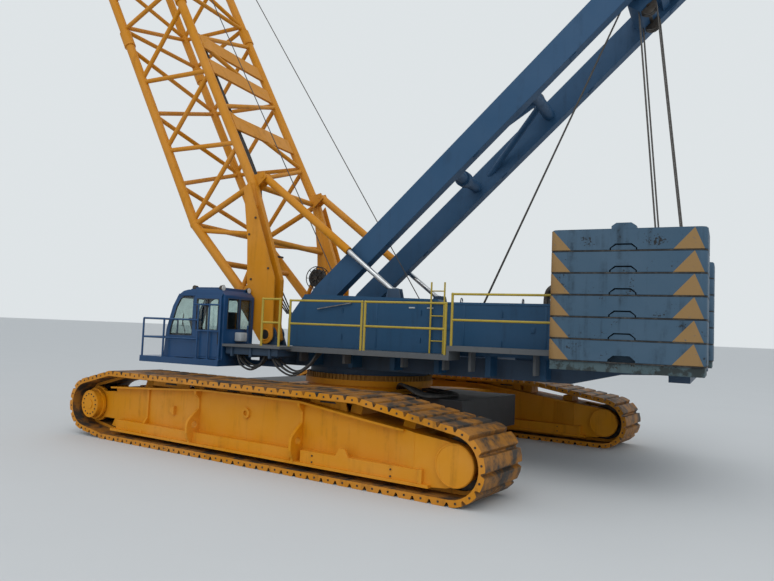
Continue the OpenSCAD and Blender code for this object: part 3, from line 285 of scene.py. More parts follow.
def cornerTriangles(t, colour):
    k = plateSet
    c = t.nodes.new("ShaderNodeTexCoord")
    s = t.nodes.new("ShaderNodeSeparateXYZ")
    fill(t, s, {0: c.outputs["Object"]})
    along, across, z = s.outputs
    x = mathNode(t, "SUBTRACT", along, place["slewX"] + k["rear"])
    level = mathNode(t, "DIVIDE", mathNode(t, "SUBTRACT", z, k["bottom"]), k["height"])
    rise = mathNode(t, "SUBTRACT", k["peak"], mathNode(t, "FRACT", level))
    # front: upright edge at the plate's end. Rear: peak near the rounded corner
    reach = mathNode(t, "MULTIPLY", rise, k["frontSlope"])
    front = mathNode(t, "GREATER_THAN", x, mathNode(t, "SUBTRACT", k["length"] - k["frontGap"], reach))
    low = mathNode(t, "SUBTRACT", k["rearLow"][0], mathNode(t, "MULTIPLY", rise, k["rearLow"][1]))
    high = mathNode(t, "ADD", k["rearHigh"][0], mathNode(t, "MULTIPLY", rise, k["rearHigh"][1]))
    rear = mathNode(t, "MULTIPLY", mathNode(t, "GREATER_THAN", x, low), mathNode(t, "LESS_THAN", x, high))
    hit = mathNode(t, "MAXIMUM", front, rear)
    wear = rangeNode(t, noiseNode(t, c.outputs["Object"], k["wearScale"], 6, 0.75), 0.30, 0.40)
    for limit in (mathNode(t, "GREATER_THAN", z, k["bottom"]),
                  mathNode(t, "GREATER_THAN", mathNode(t, "ABSOLUTE", across), k["outer"]),
                  mathNode(t, "GREATER_THAN", rise, 0.0), wear):
        hit = mathNode(t, "MULTIPLY", hit, limit)
    return mixColor(t, hit, colour, k["yellow"])


# shoes: the faces that meet the ground are worn to dark metal, with yellow left in patches
def wornTread(t, colour):
    c = t.nodes.new("ShaderNodeTexCoord")
    d = t.nodes.new("ShaderNodeVectorMath")
    d.operation = "DOT_PRODUCT"
    turn, side = cosSin(place["trackTurn"])
    fill(t, d, {0: c.outputs["Normal"], 1: (-side, turn, 0)})
    flat = mathNode(t, "LESS_THAN", mathNode(t, "ABSOLUTE", d.outputs["Value"]), 0.5)
    patches = rangeNode(t, noiseNode(t, c.outputs["Object"], 2.6, 5, 0.65), 0.40, 0.58, 1.0, 0.45)
    return mixColor(t, mathNode(t, "MULTIPLY", flat, patches), colour, (0.045, 0.038, 0.032))


# tray: paint lost in large dark patches
def mottled(t, colour):
    n = noiseNode(t, objectCoords(t), 2.4, 8, 0.68)
    return mixColor(t, rangeNode(t, n, 0.50, 0.56, 0.0, 0.8), colour, (0.020, 0.022, 0.020))


mats = {
    "trackYellow": paint("trackYellow", (0.66, 0.262, 0.001), grime=(0.17, 0.065, 0.008), fade=0.3,
                         streaks=0.5, chips=0.3, gloss=0.46, shine=0.18),
    "shoeYellow": paint("shoeYellow", (0.56, 0.215, 0.002), grime=(0.13, 0.06, 0.015), fade=0.4,
                        streaks=0.8, chips=0.6, gloss=0.5, bump=0.5, shine=0.25, extra=wornTread),
    "boomYellow": paint("boomYellow", (0.58, 0.225, 0.001), grime=(0.16, 0.06, 0.008), fade=0.35,
                        streaks=0.35, chips=0.28, gloss=0.44, shine=0.25),
    "frameBlue": paint("frameBlue", (0.034, 0.068, 0.120), grime=(0.030, 0.034, 0.042), chips=0.08,
                       gloss=0.4, shine=0.3),
    "houseBlue": paint("houseBlue", (0.010, 0.064, 0.145), grime=(0.012, 0.032, 0.060), fade=0.4,
                       chips=0.05, gloss=0.36, shine=0.3),
    "mastBlue": paint("mastBlue", (0.018, 0.073, 0.158), grime=(0.018, 0.040, 0.075), fade=0.45,
                      chips=0.10, gloss=0.42, shine=0.3),
    "cabBlue": paint("cabBlue", (0.007, 0.058, 0.165), grime=(0.010, 0.025, 0.05), fade=0.3,
                     streaks=0.35, chips=0.04, gloss=0.3, coat=0.15, shine=0.35),
    "plateBlue": paint("plateBlue", (0.042, 0.093, 0.150), grime=(0.016, 0.026, 0.036),
                       rust=(0.018, 0.019, 0.021), fade=0.7, streaks=0.95, chips=0.85, gloss=0.5,
                       bump=0.5, extra=cornerTriangles, shine=0.3),
    "trayBlue": paint("trayBlue", (0.060, 0.100, 0.115), grime=(0.035, 0.040, 0.035),
                      rust=(0.035, 0.032, 0.026), fade=0.8, streaks=0.9, chips=0.95, gloss=0.6,
                      bump=0.5, shine=0.3, extra=mottled),
    "ballastDark": paint("ballastDark", (0.014, 0.015, 0.018), fade=0.4, streaks=0.4, gloss=0.5),
    "deckGrey": paint("deckGrey", (0.095, 0.105, 0.115), streaks=0.4, chips=0.5, gloss=0.6),
    "railYellow": paint("railYellow", (0.42, 0.31, 0.025), fade=0.4, streaks=0.4, gloss=0.4),
    "engineGrey": paint("engineGrey", (0.15, 0.16, 0.17), chips=0.2),
    "darkSteel": metal("darkSteel", (0.10, 0.09, 0.08), 0.42, 0.7),
    "ringBrown": paint("ringBrown", (0.34, 0.165, 0.022), grime=(0.06, 0.035, 0.012), fade=0.4,
                       streaks=0.7, chips=0.6, gloss=0.55, shine=0.3),
    "bareSteel": metal("bareSteel", (0.32, 0.32, 0.33), 0.35, 0.5),
    "chrome": metal("rodChrome", (0.62, 0.63, 0.64), 0.16, 0.15),
    "rope": rope("wireRope"),
    "glass": glass("cabPane"),
    "seat": rubber("seatCloth", (0.022, 0.023, 0.026)),
    "rubber": rubber("hoseRubber"),
    # painted shade: near-black fill put where holes, slots, the grooves between plates and the space behind
    # the hood grille fall in shade
    "hole": rubber("openingDark", (0.006, 0.005, 0.005)),
    "paleGrey": paint("paleGrey", (0.42, 0.45, 0.47), chips=0.1, streaks=0.6, gloss=0.4),
    "lampGlass": paint("lampGlass", (0.55, 0.56, 0.55), chips=0.0, streaks=0.2, gloss=0.1, coat=0.6),
}
finishNodes = {
    "trackYellow": ("carbody", "track_frame_left", "track_frame_right", "track_drives"),
    "shoeYellow": ("track_loop_left", "track_loop_right"),
    "ringBrown": ("slew_ring",), "ballastDark": ("central_ballast",), "engineGrey": ("engine_block",),
    "darkSteel": ("sprockets", "idlers", "track_rollers", "mast_sheaves", "boom_sheaves", "hook"),
    "frameBlue": ("main_frame", "winch_stands", "rear_tackle"),
    "houseBlue": ("house_left", "house_right", "engine_hood"),
    "deckGrey": ("walkway_left", "walkway_right"), "railYellow": ("handrails",),
    "trayBlue": ("counterweight_tray",), "plateBlue": ("counterweight_left", "counterweight_right"),
    "rope": ("hoist_drum_front", "hoist_drum_rear", "luffing_drum", "hoist_falls"),
    "cabBlue": ("cab_shell", "cab_door", "cab_platform"), "glass": ("cab_glass", "cab_door_glass"),
    "seat": ("cab_seat",), "mastBlue": ("mast_legs",), "bareSteel": ("pendants",),
    "boomYellow": ("boom_foot", "boom_insert", "boom_head", "backstop_barrels", "hook_block"),
    "chrome": ("backstop_rods",),
}
for finish, names in finishNodes.items():
    for name in names:
        nodes[name].data.materials.clear()
        nodes[name].data.materials.append(mats[finish])
print("materials on every node")

# worn, rounded edges on the plated nodes, by width
edgeSet = {
    0.004: ("cab_door", "walkway_left", "walkway_right"),
    0.006: ("cab_shell", "track_frame_left", "track_frame_right", "main_frame"),
    0.008: ("house_left", "house_right", "engine_hood", "counterweight_tray", "carbody", "hook_block"),
    0.010: ("mast_legs",),
    0.014: ("counterweight_left", "counterweight_right", "central_ballast"),
}


def roundEdges():
    for width, names in edgeSet.items():
        for name in names:
            weld = nodes[name].modifiers.new("weld", "WELD")
            weld.merge_threshold = 0.0002
            bevel = nodes[name].modifiers.new("bevel", "BEVEL")
            bevel.width = width
            bevel.segments = 2
            bevel.limit_method = "ANGLE"
            bevel.angle_limit = math.radians(38)


roundEdges()


# mesh helpers. One turn in n steps, as pairs of cosine and sine
def turns(n):
    angles = [2 * math.pi * i / n for i in range(n)]
    return [(math.cos(t), math.sin(t)) for t in angles]


def circle(at, u, v, radius, n):
    return [at + (u * c + v * s) * radius for c, s in turns(n)]


def axes(direction):
    a = Vector(direction).normalized()
    u = a.orthogonal().normalized()
    return a, u, a.cross(u)


def addRod(bm, p, q, radius, sides=10, endRadius=None):
    p, q = Vector(p), Vector(q)
    a, u, v = axes(q - p)
    rings = []
    for at, r in ((p, radius), (q, radius if endRadius is None else endRadius)):
        rings.append([bm.verts.new(rim) for rim in circle(at, u, v, r, sides)])
    for i in range(sides):
        j = (i + 1) % sides
        bm.faces.new((rings[0][i], rings[0][j], rings[1][j], rings[1][i]))
    bm.faces.new(rings[0][::-1])
    bm.faces.new(rings[1])


def smoothPath(points, steps):
    p = [Vector(q) for q in points]
    last = len(p) - 1
    out = []
    for i in range(last):
        a, b, c, d = (p[min(max(i + k, 0), last)] for k in (-1, 0, 1, 2))
        for j in range(steps):
            t = j / steps
            bend = (2 * a - 5 * b + 4 * c - d) * t * t + (3 * b - a - 3 * c + d) * t ** 3
            out.append((2 * b + (c - a) * t + bend) / 2)
    return out + [p[last]]


def addHose(bm, path, radius, sides=8, closed=False):
    path = [Vector(p) for p in path]
    n = len(path)
    rings = []
    side = None
    for i, at in enumerate(path):
        after = path[(i + 1) % n] if closed else path[min(i + 1, n - 1)]
        before = path[i - 1] if closed or i else path[0]
        a = (after - before).normalized()
        side = a.orthogonal().normalized() if side is None else (side - a * side.dot(a)).normalized()
        rings.append([bm.verts.new(rim) for rim in circle(at, side, a.cross(side), radius, sides)])
    for i in range(n if closed else n - 1):
        j = (i + 1) % n
        for k in range(sides):
            m = (k + 1) % sides
            bm.faces.new((rings[i][k], rings[i][m], rings[j][m], rings[j][k]))
    if not closed:
        bm.faces.new(rings[0][::-1])
        bm.faces.new(rings[-1])


def addRing(bm, at, axis, major, minor, n=28, sides=8):
    a, u, v = axes(axis)
    addHose(bm, circle(at, u, v, major, n), minor, sides, True)


def addBand(bm, at, inner, outer, heights, n=72):
    rings = []
    corners = [(r, z) for z in heights for r in (inner, outer)]
    for c, s in turns(n):
        rings.append([bm.verts.new(at + Vector((r * c, r * s, z))) for r, z in corners])
    for i in range(n):
        a, b = rings[i], rings[(i + 1) % n]
        for j, k in ((0, 1), (1, 3), (3, 2), (2, 0)):
            bm.faces.new((a[j], a[k], b[k], b[j]))


def addPlate(bm, outline, depth, bevel=0.0):
    a = [bm.verts.new(p) for p in outline]
    b = [bm.verts.new(p + depth) for p in outline]
    faces = [bm.faces.new(a[::-1]), bm.faces.new(b)]
    for i in range(len(a)):
        j = (i + 1) % len(a)
        faces.append(bm.faces.new((a[i], a[j], b[j], b[i])))
    if bevel:
        edges = list({e for f in faces for e in f.edges})
        bmesh.ops.bevel(bm, geom=edges, affect="EDGES", offset=bevel, segments=2, profile=0.5, material=-1)


def addBox(bm, at, lo, hi, bevel=0.0):
    (x0, y0, z0), (x1, y1, z1) = lo, hi
    corners = placed(at, [(x0, y0, z0), (x1, y0, z0), (x1, y1, z0), (x0, y1, z0)])
    addPlate(bm, corners, at(x0, y0, z1) - corners[0], bevel)


def finishPiece(name, bm, finish, body="upper_works", across=None):
    bmesh.ops.recalc_face_normals(bm, faces=bm.faces)
    mesh = bpy.data.meshes.new(name)
    bm.to_mesh(mesh)
    bm.free()
    mesh.materials.append(mats[finish])
    mesh.shade_smooth()
    mesh.set_sharp_from_angle(angle=math.radians(35))
    o = bpy.data.objects.new(name, mesh)
    bpy.context.scene.collection.objects.link(o)
    if across:
        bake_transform(o)
    else:
        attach(o, body)


# tracks: holes in the shoe ends as painted shade, near-black discs; bolts, cover rims and the slotted strip
# above each frame, its slots also painted shade
trackSet = {"gauge": 8.4, "shoeEnd": 0.75, "count": 74, "frontX": 5.085, "frontZ": 0.76, "frontR": 0.64,
            "rearX": -5.15, "rearZ": 0.655, "runFront": 4.2, "runRear": -3.15, "runTop": 1.635,
            "groundFront": 4.35, "holeDeep": 0.062, "holeR": 0.021, "coverY": 0.62, "idlerCoverX": -5.17,
            "idlerRim": 0.352, "driveRim": 0.318, "driveHub": 0.115, "driveBolts": 14, "boltCircle": 0.245,
            "webX": -4.35, "webY": 0.558, "webZ": (0.27, 1.085),
            "ledgeX": (-2.1, -3.9), "ledgeZ": (0.30, 0.42),
            "stripY": 0.31, "stripTop": 1.475, "stripRuns": ((3.05, 1.75, 1.36), (1.45, -1.45, 1.40),
                                                             (-1.75, -2.70, 1.30)),
            "slotPitch": 0.72, "slotHalf": 0.21, "slotZ": (1.415, 1.450)}


def track(side, x, y, z):
    return lower(x, side * (trackSet["gauge"] / 2 + y), z)


def loopLine():
    k = trackSet
    rise = math.degrees(math.atan2(k["runTop"] - 2 * k["rearZ"], k["runRear"] - k["rearX"]))
    fall = math.degrees(math.atan2(k["runTop"] - k["frontZ"] - k["frontR"], k["frontX"] - k["runFront"]))
    lift = math.degrees(math.atan2(k["frontZ"] - k["frontR"], k["frontX"] - k["groundFront"]))

    def arc(cx, cz, r, a0, a1):
        angles = [math.radians(a0 + (a1 - a0) * i / 14) for i in range(15)]
        return [Vector((cx + r * math.cos(t), cz + r * math.sin(t))) for t in angles]

    top = [Vector((k["runFront"], k["runTop"])), Vector((k["runRear"], k["runTop"]))]
    front = arc(k["frontX"], k["frontZ"], k["frontR"], lift - 90, 90 - fall)
    rear = arc(k["rearX"], k["rearZ"], k["rearZ"], 90 + rise, 270)
    return [Vector((k["groundFront"], 0))] + front + top + rear


def alongLoop(line, s):
    for i, p in enumerate(line):
        q = line[(i + 1) % len(line)]
        step = (q - p).length
        if s < step or i == len(line) - 1:
            return p + (q - p) * (s / step), (q - p).normalized()
        s -= step


def makeTracks():
    k = trackSet
    line = loopLine()
    total = sum((line[(i + 1) % len(line)] - p).length for i, p in enumerate(line))
    holeShade, bolts, trim, strip = (bmesh.new() for _ in range(4))
    for side in (1, -1):
        across = track(side, 0, 1, 0) - track(side, 0, 0, 0)
        for i in range(k["count"]):
            p, d = alongLoop(line, total * i / k["count"])
            x, z = p.x - d.y * k["holeDeep"], p.y + d.x * k["holeDeep"]
            for y in (k["shoeEnd"], -k["shoeEnd"]):
                at = track(side, x, y, z)
                # painted shade: a thin near-black disc stands for the shaded inside of each hole
                addRod(holeShade, at - across * 0.004, at + across * 0.004, k["holeR"], 8)
        for s in (1, -1):
            y = s * k["coverY"]
            at = track(side, k["idlerCoverX"], y, k["rearZ"])
            addRing(trim, at, across, k["idlerRim"], 0.011, 40)
            at = track(side, k["frontX"], y, k["frontZ"])
            addRing(trim, at, across, k["driveRim"], 0.010, 36)
            addRod(trim, at - across * 0.01, at + across * s * 0.018, k["driveHub"], 24)
            for dx, dz in turns(k["driveBolts"]):
                b = track(side, k["frontX"] + k["boltCircle"] * dx, y, k["frontZ"] + k["boltCircle"] * dz)
                addRod(bolts, b - across * 0.01, b + across * s * 0.014, 0.017, 6)
            # bead along the web's bend, bolts on the ledge
            low, high = (track(side, k["webX"], s * k["webY"], z) for z in k["webZ"])
            addRod(trim, low, high, 0.009, 6)
            for x in k["ledgeX"]:
                for z in k["ledgeZ"]:
                    b = track(side, x, s * 0.6, z)
                    addRod(bolts, b - across * 0.01, b + across * s * 0.012, 0.019, 6)
            # slotted strip between the frame's top and the shoes
            for x0, x1, z0 in k["stripRuns"]:
                ends = ((x0, z0), (x0 - 0.05, k["stripTop"]), (x1 + 0.05, k["stripTop"]), (x1, z0))
                addPlate(strip, [track(side, x, s * k["stripY"], z) for x, z in ends], across * s * 0.03)
                n = max(1, int((x0 - x1) / k["slotPitch"]))
                for i in range(n):
                    c = x1 + (x0 - x1) * (i + 0.5) / n
                    w, (low, high) = k["slotHalf"], k["slotZ"]
                    ends = ((c - w, low), (c - w + 0.04, high), (c + w - 0.04, high), (c + w, low))
                    # painted shade: each slot is a thin near-black plate on the strip
                    slot = [track(side, x, s * k["stripY"] + s * 0.031, z) for x, z in ends]
                    addPlate(holeShade, slot, across * s * 0.003)
    finishPiece("shoeHoles", holeShade, "hole", "undercarriage")
    finishPiece("trackBolts", bolts, "darkSteel", "undercarriage")
    finishPiece("trackTrim", trim, "trackYellow", "undercarriage")
    finishPiece("trackStrips", strip, "trackYellow", "undercarriage")


makeTracks()
print("track trim made")

# carbody: ring bolts, the band under the ring's teeth and hose bundles behind it
carSet = {"boltZ": 1.54, "boltCount": 48, "boltCircle": 1.56, "bandIn": 1.60, "bandOut": 1.685,
          "bandZ": (1.50, 1.635), "hoses": 5, "hose": 0.034, "hoseStep": 0.09}


def makeCarbody():
    k = carSet
    bolts, hoses, band = bmesh.new(), bmesh.new(), bmesh.new()
    for dx, dy in turns(k["boltCount"]):
        at = lower(k["boltCircle"] * dx, k["boltCircle"] * dy, k["boltZ"])
        addRod(bolts, at, at + Vector((0, 0, 0.05)), 0.026, 6)
    for i in range(k["hoses"]):
        d = k["hoseStep"] * i
        path = placed(lower, [(-1.45, 0.5 + d, 1.48), (-1.95, 0.9 + d * 1.6, 1.52 + 0.03 * i),
                              (-2.6, 1.3 + d, 1.44), (-3.0, 0.7 + d * 1.4, 1.43), (-2.5, 0.1 + d, 1.43),
                              (-1.75, -0.2 + d, 1.44)])
        addHose(hoses, smoothPath(path, 8), k["hose"], 8)
    addBand(band, lower(0, 0, 0), k["bandIn"], k["bandOut"], k["bandZ"])
    finishPiece("ringBand", band, "trackYellow", "undercarriage")
    finishPiece("ringBolts", bolts, "darkSteel", "undercarriage")
    finishPiece("ringHoses", hoses, "rubber", "undercarriage")


makeCarbody()
print("carbody trim made")

# cab: gaskets, wiper, guard rails, lamps, box on the rear wall, console, door handle
cabSet = {"y0": 2.0, "y1": 3.15, "rear": 2.4, "gasket": 0.013, "rightX": (2.47, 3.30),
          "rightZ": (2.7, 3.5), "rearWindows": ((2.13, 2.535), (2.605, 3.02)), "rearZ": (2.76, 3.5),
          "screenY": (2.11, 3.04),
          "screen": [(2.58, 4.232), (2.7, 4.222), (3.0, 4.130), (3.28, 4.047), (3.51, 3.915)],
          "window": [(3.39, 2.56), (4.11, 2.56), (4.09, 2.72), (3.93, 3.25), (3.81, 3.46), (3.69, 3.53),
                     (3.39, 3.53)],
          "doorY": 3.198, "doorX": (2.55, 3.22), "doorZ": (2.72, 3.47), "paneBar": 2.90,
          "handleX": 2.51, "handleZ": (2.38, 2.66),
          "railY": 3.26, "railR": 0.022, "posts": (3.11, 2.77, 2.43), "postZ": (1.99, 3.33),
          "lamps": ((2.56, 3.08), (2.56, 2.07), (3.56, 2.25), (3.56, 2.90)), "lampZ": 3.75,
          "wiper": (((4.262, 2.42, 2.60), (4.19, 2.62, 2.93), 0.009),
                    ((4.215, 2.60, 2.78), (4.125, 2.66, 3.10), 0.012)),
          "bars": ((3.26, 2.41, 3.33), (3.11, 2.43, 2.69), (4.2, 3.11, 2.95), (4.2, 3.11, 2.48)),
          "sideRail": ((2.31, 2.32, 2.39), (2.31, 2.32, 2.86)),
          "roofX": (2.56, 3.5), "roofY": (2.03, 3.12), "roofZ": 3.705, "hinges": (2.78, 3.25),
          "box": ((2.20, 2.46, 2.46), (2.40, 2.72, 2.68)),
          "column": ((3.55, 2.87, 2.04), (3.54, 2.87, 2.80)), "levers": (2.245, 2.905),
          "console": [(3.42, 2.04), (4.05, 2.04), (3.98, 2.44), (3.62, 2.70), (3.46, 2.62)],
          "display": [(3.45, 2.72), (3.50, 2.70), (3.62, 2.98), (3.57, 3.00)]}


def rectangle(xs, zs):
    return [(xs[0], zs[0]), (xs[1], zs[0]), (xs[1], zs[1]), (xs[0], zs[1])]


def makeCab():
    k = cabSet
    seal, rails, door, dark, lamps, lens, inside = (bmesh.new() for _ in range(7))
    g = k["gasket"]
    for y in (k["y1"] - g + 0.003, k["y0"] - 0.004):
        addHose(seal, [upper(x, y, z) for x, z in k["window"]], g, 6, True)
    pane = rectangle(k["rightX"], k["rightZ"])
    addHose(seal, [upper(x, k["y0"] - 0.004, z) for x, z in pane], g, 6, True)
    left, right = k["screenY"]
    for y in k["screenY"]:
        addHose(seal, [upper(x + 0.004, y, z) for z, x in k["screen"]], g, 6)
    for z, x in (k["screen"][0], k["screen"][-1]):
        addRod(seal, upper(x + 0.004, left, z), upper(x + 0.004, right, z), g, 6)
    for window in k["rearWindows"]:
        pane = rectangle(window, k["rearZ"])
        addHose(seal, [upper(k["rear"] - 0.004, y, z) for y, z in pane], g, 6, True)
    # wiper
    for low, high, r in k["wiper"]:
        addRod(dark, upper(*low), upper(*high), r, 6)
    # door: gasket, upright bar and handle
    z0, z1 = k["doorZ"]
    pane = rectangle(k["doorX"], k["doorZ"])
    addHose(door, [upper(x, k["doorY"] + 0.003, z) for x, z in pane], g, 6, True)
    addBox(door, upper, (k["paneBar"] - 0.022, 3.178, z0), (k["paneBar"] + 0.022, 3.204, z1), 0.004)
    x, (low, high) = k["handleX"], k["handleZ"]
    addRod(door, upper(x, 3.215, low), upper(x, 3.215, high), 0.010, 8)
    for z in k["handleZ"]:
        addRod(door, upper(x, 3.19, z), upper(x, 3.217, z), 0.010, 8)
    # rails outside the door, and the platform's side rail
    r, y, (foot, top) = k["railR"], k["railY"], k["postZ"]
    for x in k["posts"]:
        addRod(rails, upper(x, y, foot), upper(x, y, top), r)
    for x0, x1, z in k["bars"]:
        addRod(rails, upper(x0, y, z), upper(x1, y, z), r)
    addRod(rails, *placed(upper, k["sideRail"]), r)
    for x in k["posts"]:
        addBox(rails, upper, (x - 0.06, y - 0.03, foot), (x + 0.06, y + 0.035, foot + 0.022), 0.004)
    # roof edge strips and hatch hinges
    (x0, x1), z = k["roofX"], k["roofZ"]
    for y in k["roofY"]:
        addRod(rails, upper(x0, y, z), upper(x1, y, z), 0.014, 8)
    for x in k["hinges"]:
        addBox(rails, upper, (x - 0.05, 2.05, 3.69), (x + 0.05, 2.14, 3.775), 0.008)
    # grey box on the rear wall, lamps at the roof corners
    addBox(lamps, upper, *k["box"], 0.025)
    z = k["lampZ"]
    for x, y in k["lamps"]:
        d = 0.08 if x > 3 else -0.08
        addRod(dark, upper(x, y, z - 0.15), upper(x, y, z - 0.03), 0.022, 8)
        addRod(dark, upper(x - d * 0.6, y, z), upper(x + d * 0.5, y, z), 0.062, 16, 0.078)
        addRod(lens, upper(x + d * 0.5, y, z), upper(x + d * 0.62, y, z), 0.070, 16, 0.062)
    # console, screen and levers seen through the glass
    addPlate(inside, [upper(x, 2.16, z) for x, z in k["console"]], Vector((0, 0.42, 0)), 0.015)
    addPlate(inside, [upper(x, 2.70, z) for x, z in k["display"]], Vector((0, 0.34, 0)), 0.008)
    addRod(inside, *placed(upper, k["column"]), 0.03, 10)
    for y in k["levers"]:
        addRod(inside, upper(3.23, y, 2.61), upper(3.29, y, 2.80), 0.014, 8)
        addRod(inside, upper(3.29, y, 2.79), upper(3.305, y, 2.85), 0.030, 12, 0.022)
    finishPiece("cabSeals", seal, "rubber")
    finishPiece("cabWiper", dark, "darkSteel")
    finishPiece("cabRails", rails, "cabBlue")
    finishPiece("cabDoorTrim", door, "rubber", "door")
    finishPiece("cabBox", lamps, "paleGrey")
    finishPiece("cabLampGlass", lens, "lampGlass")
    finishPiece("cabConsole", inside, "rubber")


makeCab()
print("cab trim made")

# hoses hanging under the landing and the walkway, and the box beam above them
hoseSet = {"radius": 0.024, "count": 4, "boxFrom": (0.84, 2.25, 2.16), "boxTo": (2.36, 3.08, 2.342),
           "ribs": (1.05, 1.6, 2.15),
           "groups": [[(2.05, 3.02, 2.20), (1.92, 3.05, 1.94), (1.62, 3.06, 1.82), (1.38, 3.02, 1.93),
                       (1.26, 2.95, 2.20)],
                      [(1.12, 2.95, 2.20), (0.90, 2.95, 1.90), (0.52, 2.90, 1.74), (0.22, 2.75, 1.95),
                       (0.06, 2.55, 2.32)]]}


def makeHoses():
    k = hoseSet
    bm, box = bmesh.new(), bmesh.new()
    addBox(box, upper, k["boxFrom"], k["boxTo"], 0.015)
    for x in k["ribs"]:
        addBox(box, upper, (x - 0.03, 2.2, 2.11), (x + 0.03, 3.12, 2.34), 0.004)
    finishPiece("landingBox", box, "frameBlue")
    for points in k["groups"]:
        for i in range(k["count"]):
            dy, dz = -0.07 * i, 0.035 * (i % 2) + 0.02 * i
            n = len(points) - 1
            path = [upper(x, y + dy, z + (dz if 0 < j < n else 0)) for j, (x, y, z) in enumerate(points)]
            addHose(bm, smoothPath(path, 8), k["radius"], 8)
    finishPiece("hangingHoses", bm, "rubber")


makeHoses()

# houses: seams, hinges, latches, lamps, a grab bar and lifting eyes on each side
houseSet = {"face": 2.02, "seams": (-1.17, -3.33, -5.15), "lampX": (-2.07, -2.52), "lampZ": 3.415,
            "doors": (-0.25, -2.3, -4.2, -6.1), "hingeZ": (2.62, 3.25), "eyes": (-3.2, -4.6, -6.2),
            "edges": ((-6.95, -2.74, 3.505, 3.545), (-2.66, 0.30, 3.575, 3.60)),
            "bar": ((0.43, 3.33), (-0.51, 3.49)), "barFeet": ((0.40, 3.335), (-0.48, 3.485))}


def makeHouses():
    k = houseSet
    face = k["face"]
    trim, pale, bar = bmesh.new(), bmesh.new(), bmesh.new()
    for s in (1, -1):
        def at(x, y, z):
            return upper(x, s * y, z)
        for x in k["seams"]:
            addBox(trim, at, (x - 0.022, face - 0.01, 2.46), (x + 0.022, face + 0.007, 3.50), 0.002)
        for x0, x1, z0, z1 in k["edges"]:
            addBox(trim, at, (x0, face - 0.01, z0), (x1, face + 0.009, z1), 0.003)
        for x in k["doors"]:
            for z in k["hingeZ"]:
                addRod(trim, at(x, face + 0.012, z), at(x, face + 0.012, z + 0.12), 0.013, 8)
            addBox(trim, at, (x - 0.72, face - 0.01, 2.93), (x - 0.64, face + 0.018, 3.05), 0.004)
        z = k["lampZ"]
        for x in k["lampX"]:
            low, high = (x - 0.075, face - 0.01, z - 0.017), (x + 0.075, face + 0.02, z + 0.017)
            addBox(pale, at, low, high, 0.006)
        low, high = (at(x, face + 0.06, z) for x, z in k["bar"])
        addRod(bar, low, high, 0.017)
        for x, z in k["barFeet"]:
            addRod(bar, at(x, face - 0.01, z), at(x, face + 0.062, z), 0.013, 8)
        for x in k["eyes"]:
            addRing(bar, at(x, 1.85, 3.60), (1, 0, 0), 0.06, 0.014, 16, 6)
    finishPiece("houseTrim", trim, "houseBlue")
    finishPiece("houseLamps", pale, "paleGrey")
    finishPiece("houseBars", bar, "bareSteel")


makeHouses()

# counterweights: painted shade, near-black bands in the grooves between the plates; lifting pins
stackSet = {"y0": 2.2, "y1": 3.5, "count": 6, "corner": 0.12, "inset": 0.003, "half": 0.012,
            "pinIn": (0.45, 0.35), "pin": 0.075}


def makeStacks():
    k = stackSet
    grooveShade, pins = bmesh.new(), bmesh.new()
    rear, front = plateSet["rear"], plateSet["rear"] + plateSet["length"]
    step, base = plateSet["height"], plateSet["bottom"]
    i, c = k["inset"], k["corner"]
    x0, x1, y0, y1 = rear + i + c, front - i - c, k["y0"] + i + c, k["y1"] - i - c
    outline = []
    for x, y, start in ((x1, y1, 0), (x0, y1, 90), (x0, y0, 180), (x1, y0, 270)):
        for j in range(6):
            dx, dy = cosSin(start + 18 * j)
            outline.append((x + c * dx, y + c * dy))
    for s in (1, -1):
        for n in range(k["count"]):
            # painted shade: a near-black band sits in each groove where two plates meet
            z = base + n * step - k["half"]
            addPlate(grooveShade, [upper(x, s * y, z) for x, y in outline], Vector((0, 0, 2 * k["half"])))
        top = base + k["count"] * step
        dx, dy = k["pinIn"]
        for x in (rear + dx, front - dx):
            for y in (k["y0"] + dy, k["y1"] - dy):
                addRod(pins, upper(x, s * y, top - 0.01), upper(x, s * y, top + 0.035), k["pin"], 20)
    finishPiece("stackJoints", grooveShade, "hole")
    finishPiece("stackPins", pins, "darkSteel")


makeStacks()

# engine hood: louvres, grille with painted shade behind it, exhaust
hoodSet = {"x0": -6.9, "top": 3.45, "louvreX": (-6.55, -5.75), "louvres": 16, "louvreStep": 0.135,
           "grille": 18, "grilleZ": 2.58, "grilleStep": 0.0395, "uprights": (-1.17, 0, 1.17),
           "frameZ": (2.53, 3.31), "stack": (-4.75, -0.75), "stackZ": (3.44, 3.70, 3.78),
           "collar": ((-4.9, 0.95, 3.44), (-4.9, 0.95, 3.50)),
           "exhaust": [(-4.9, 0.95, 3.43), (-4.9, 0.95, 3.72), (-4.95, 0.98, 3.90), (-5.08, 1.02, 4.0)]}


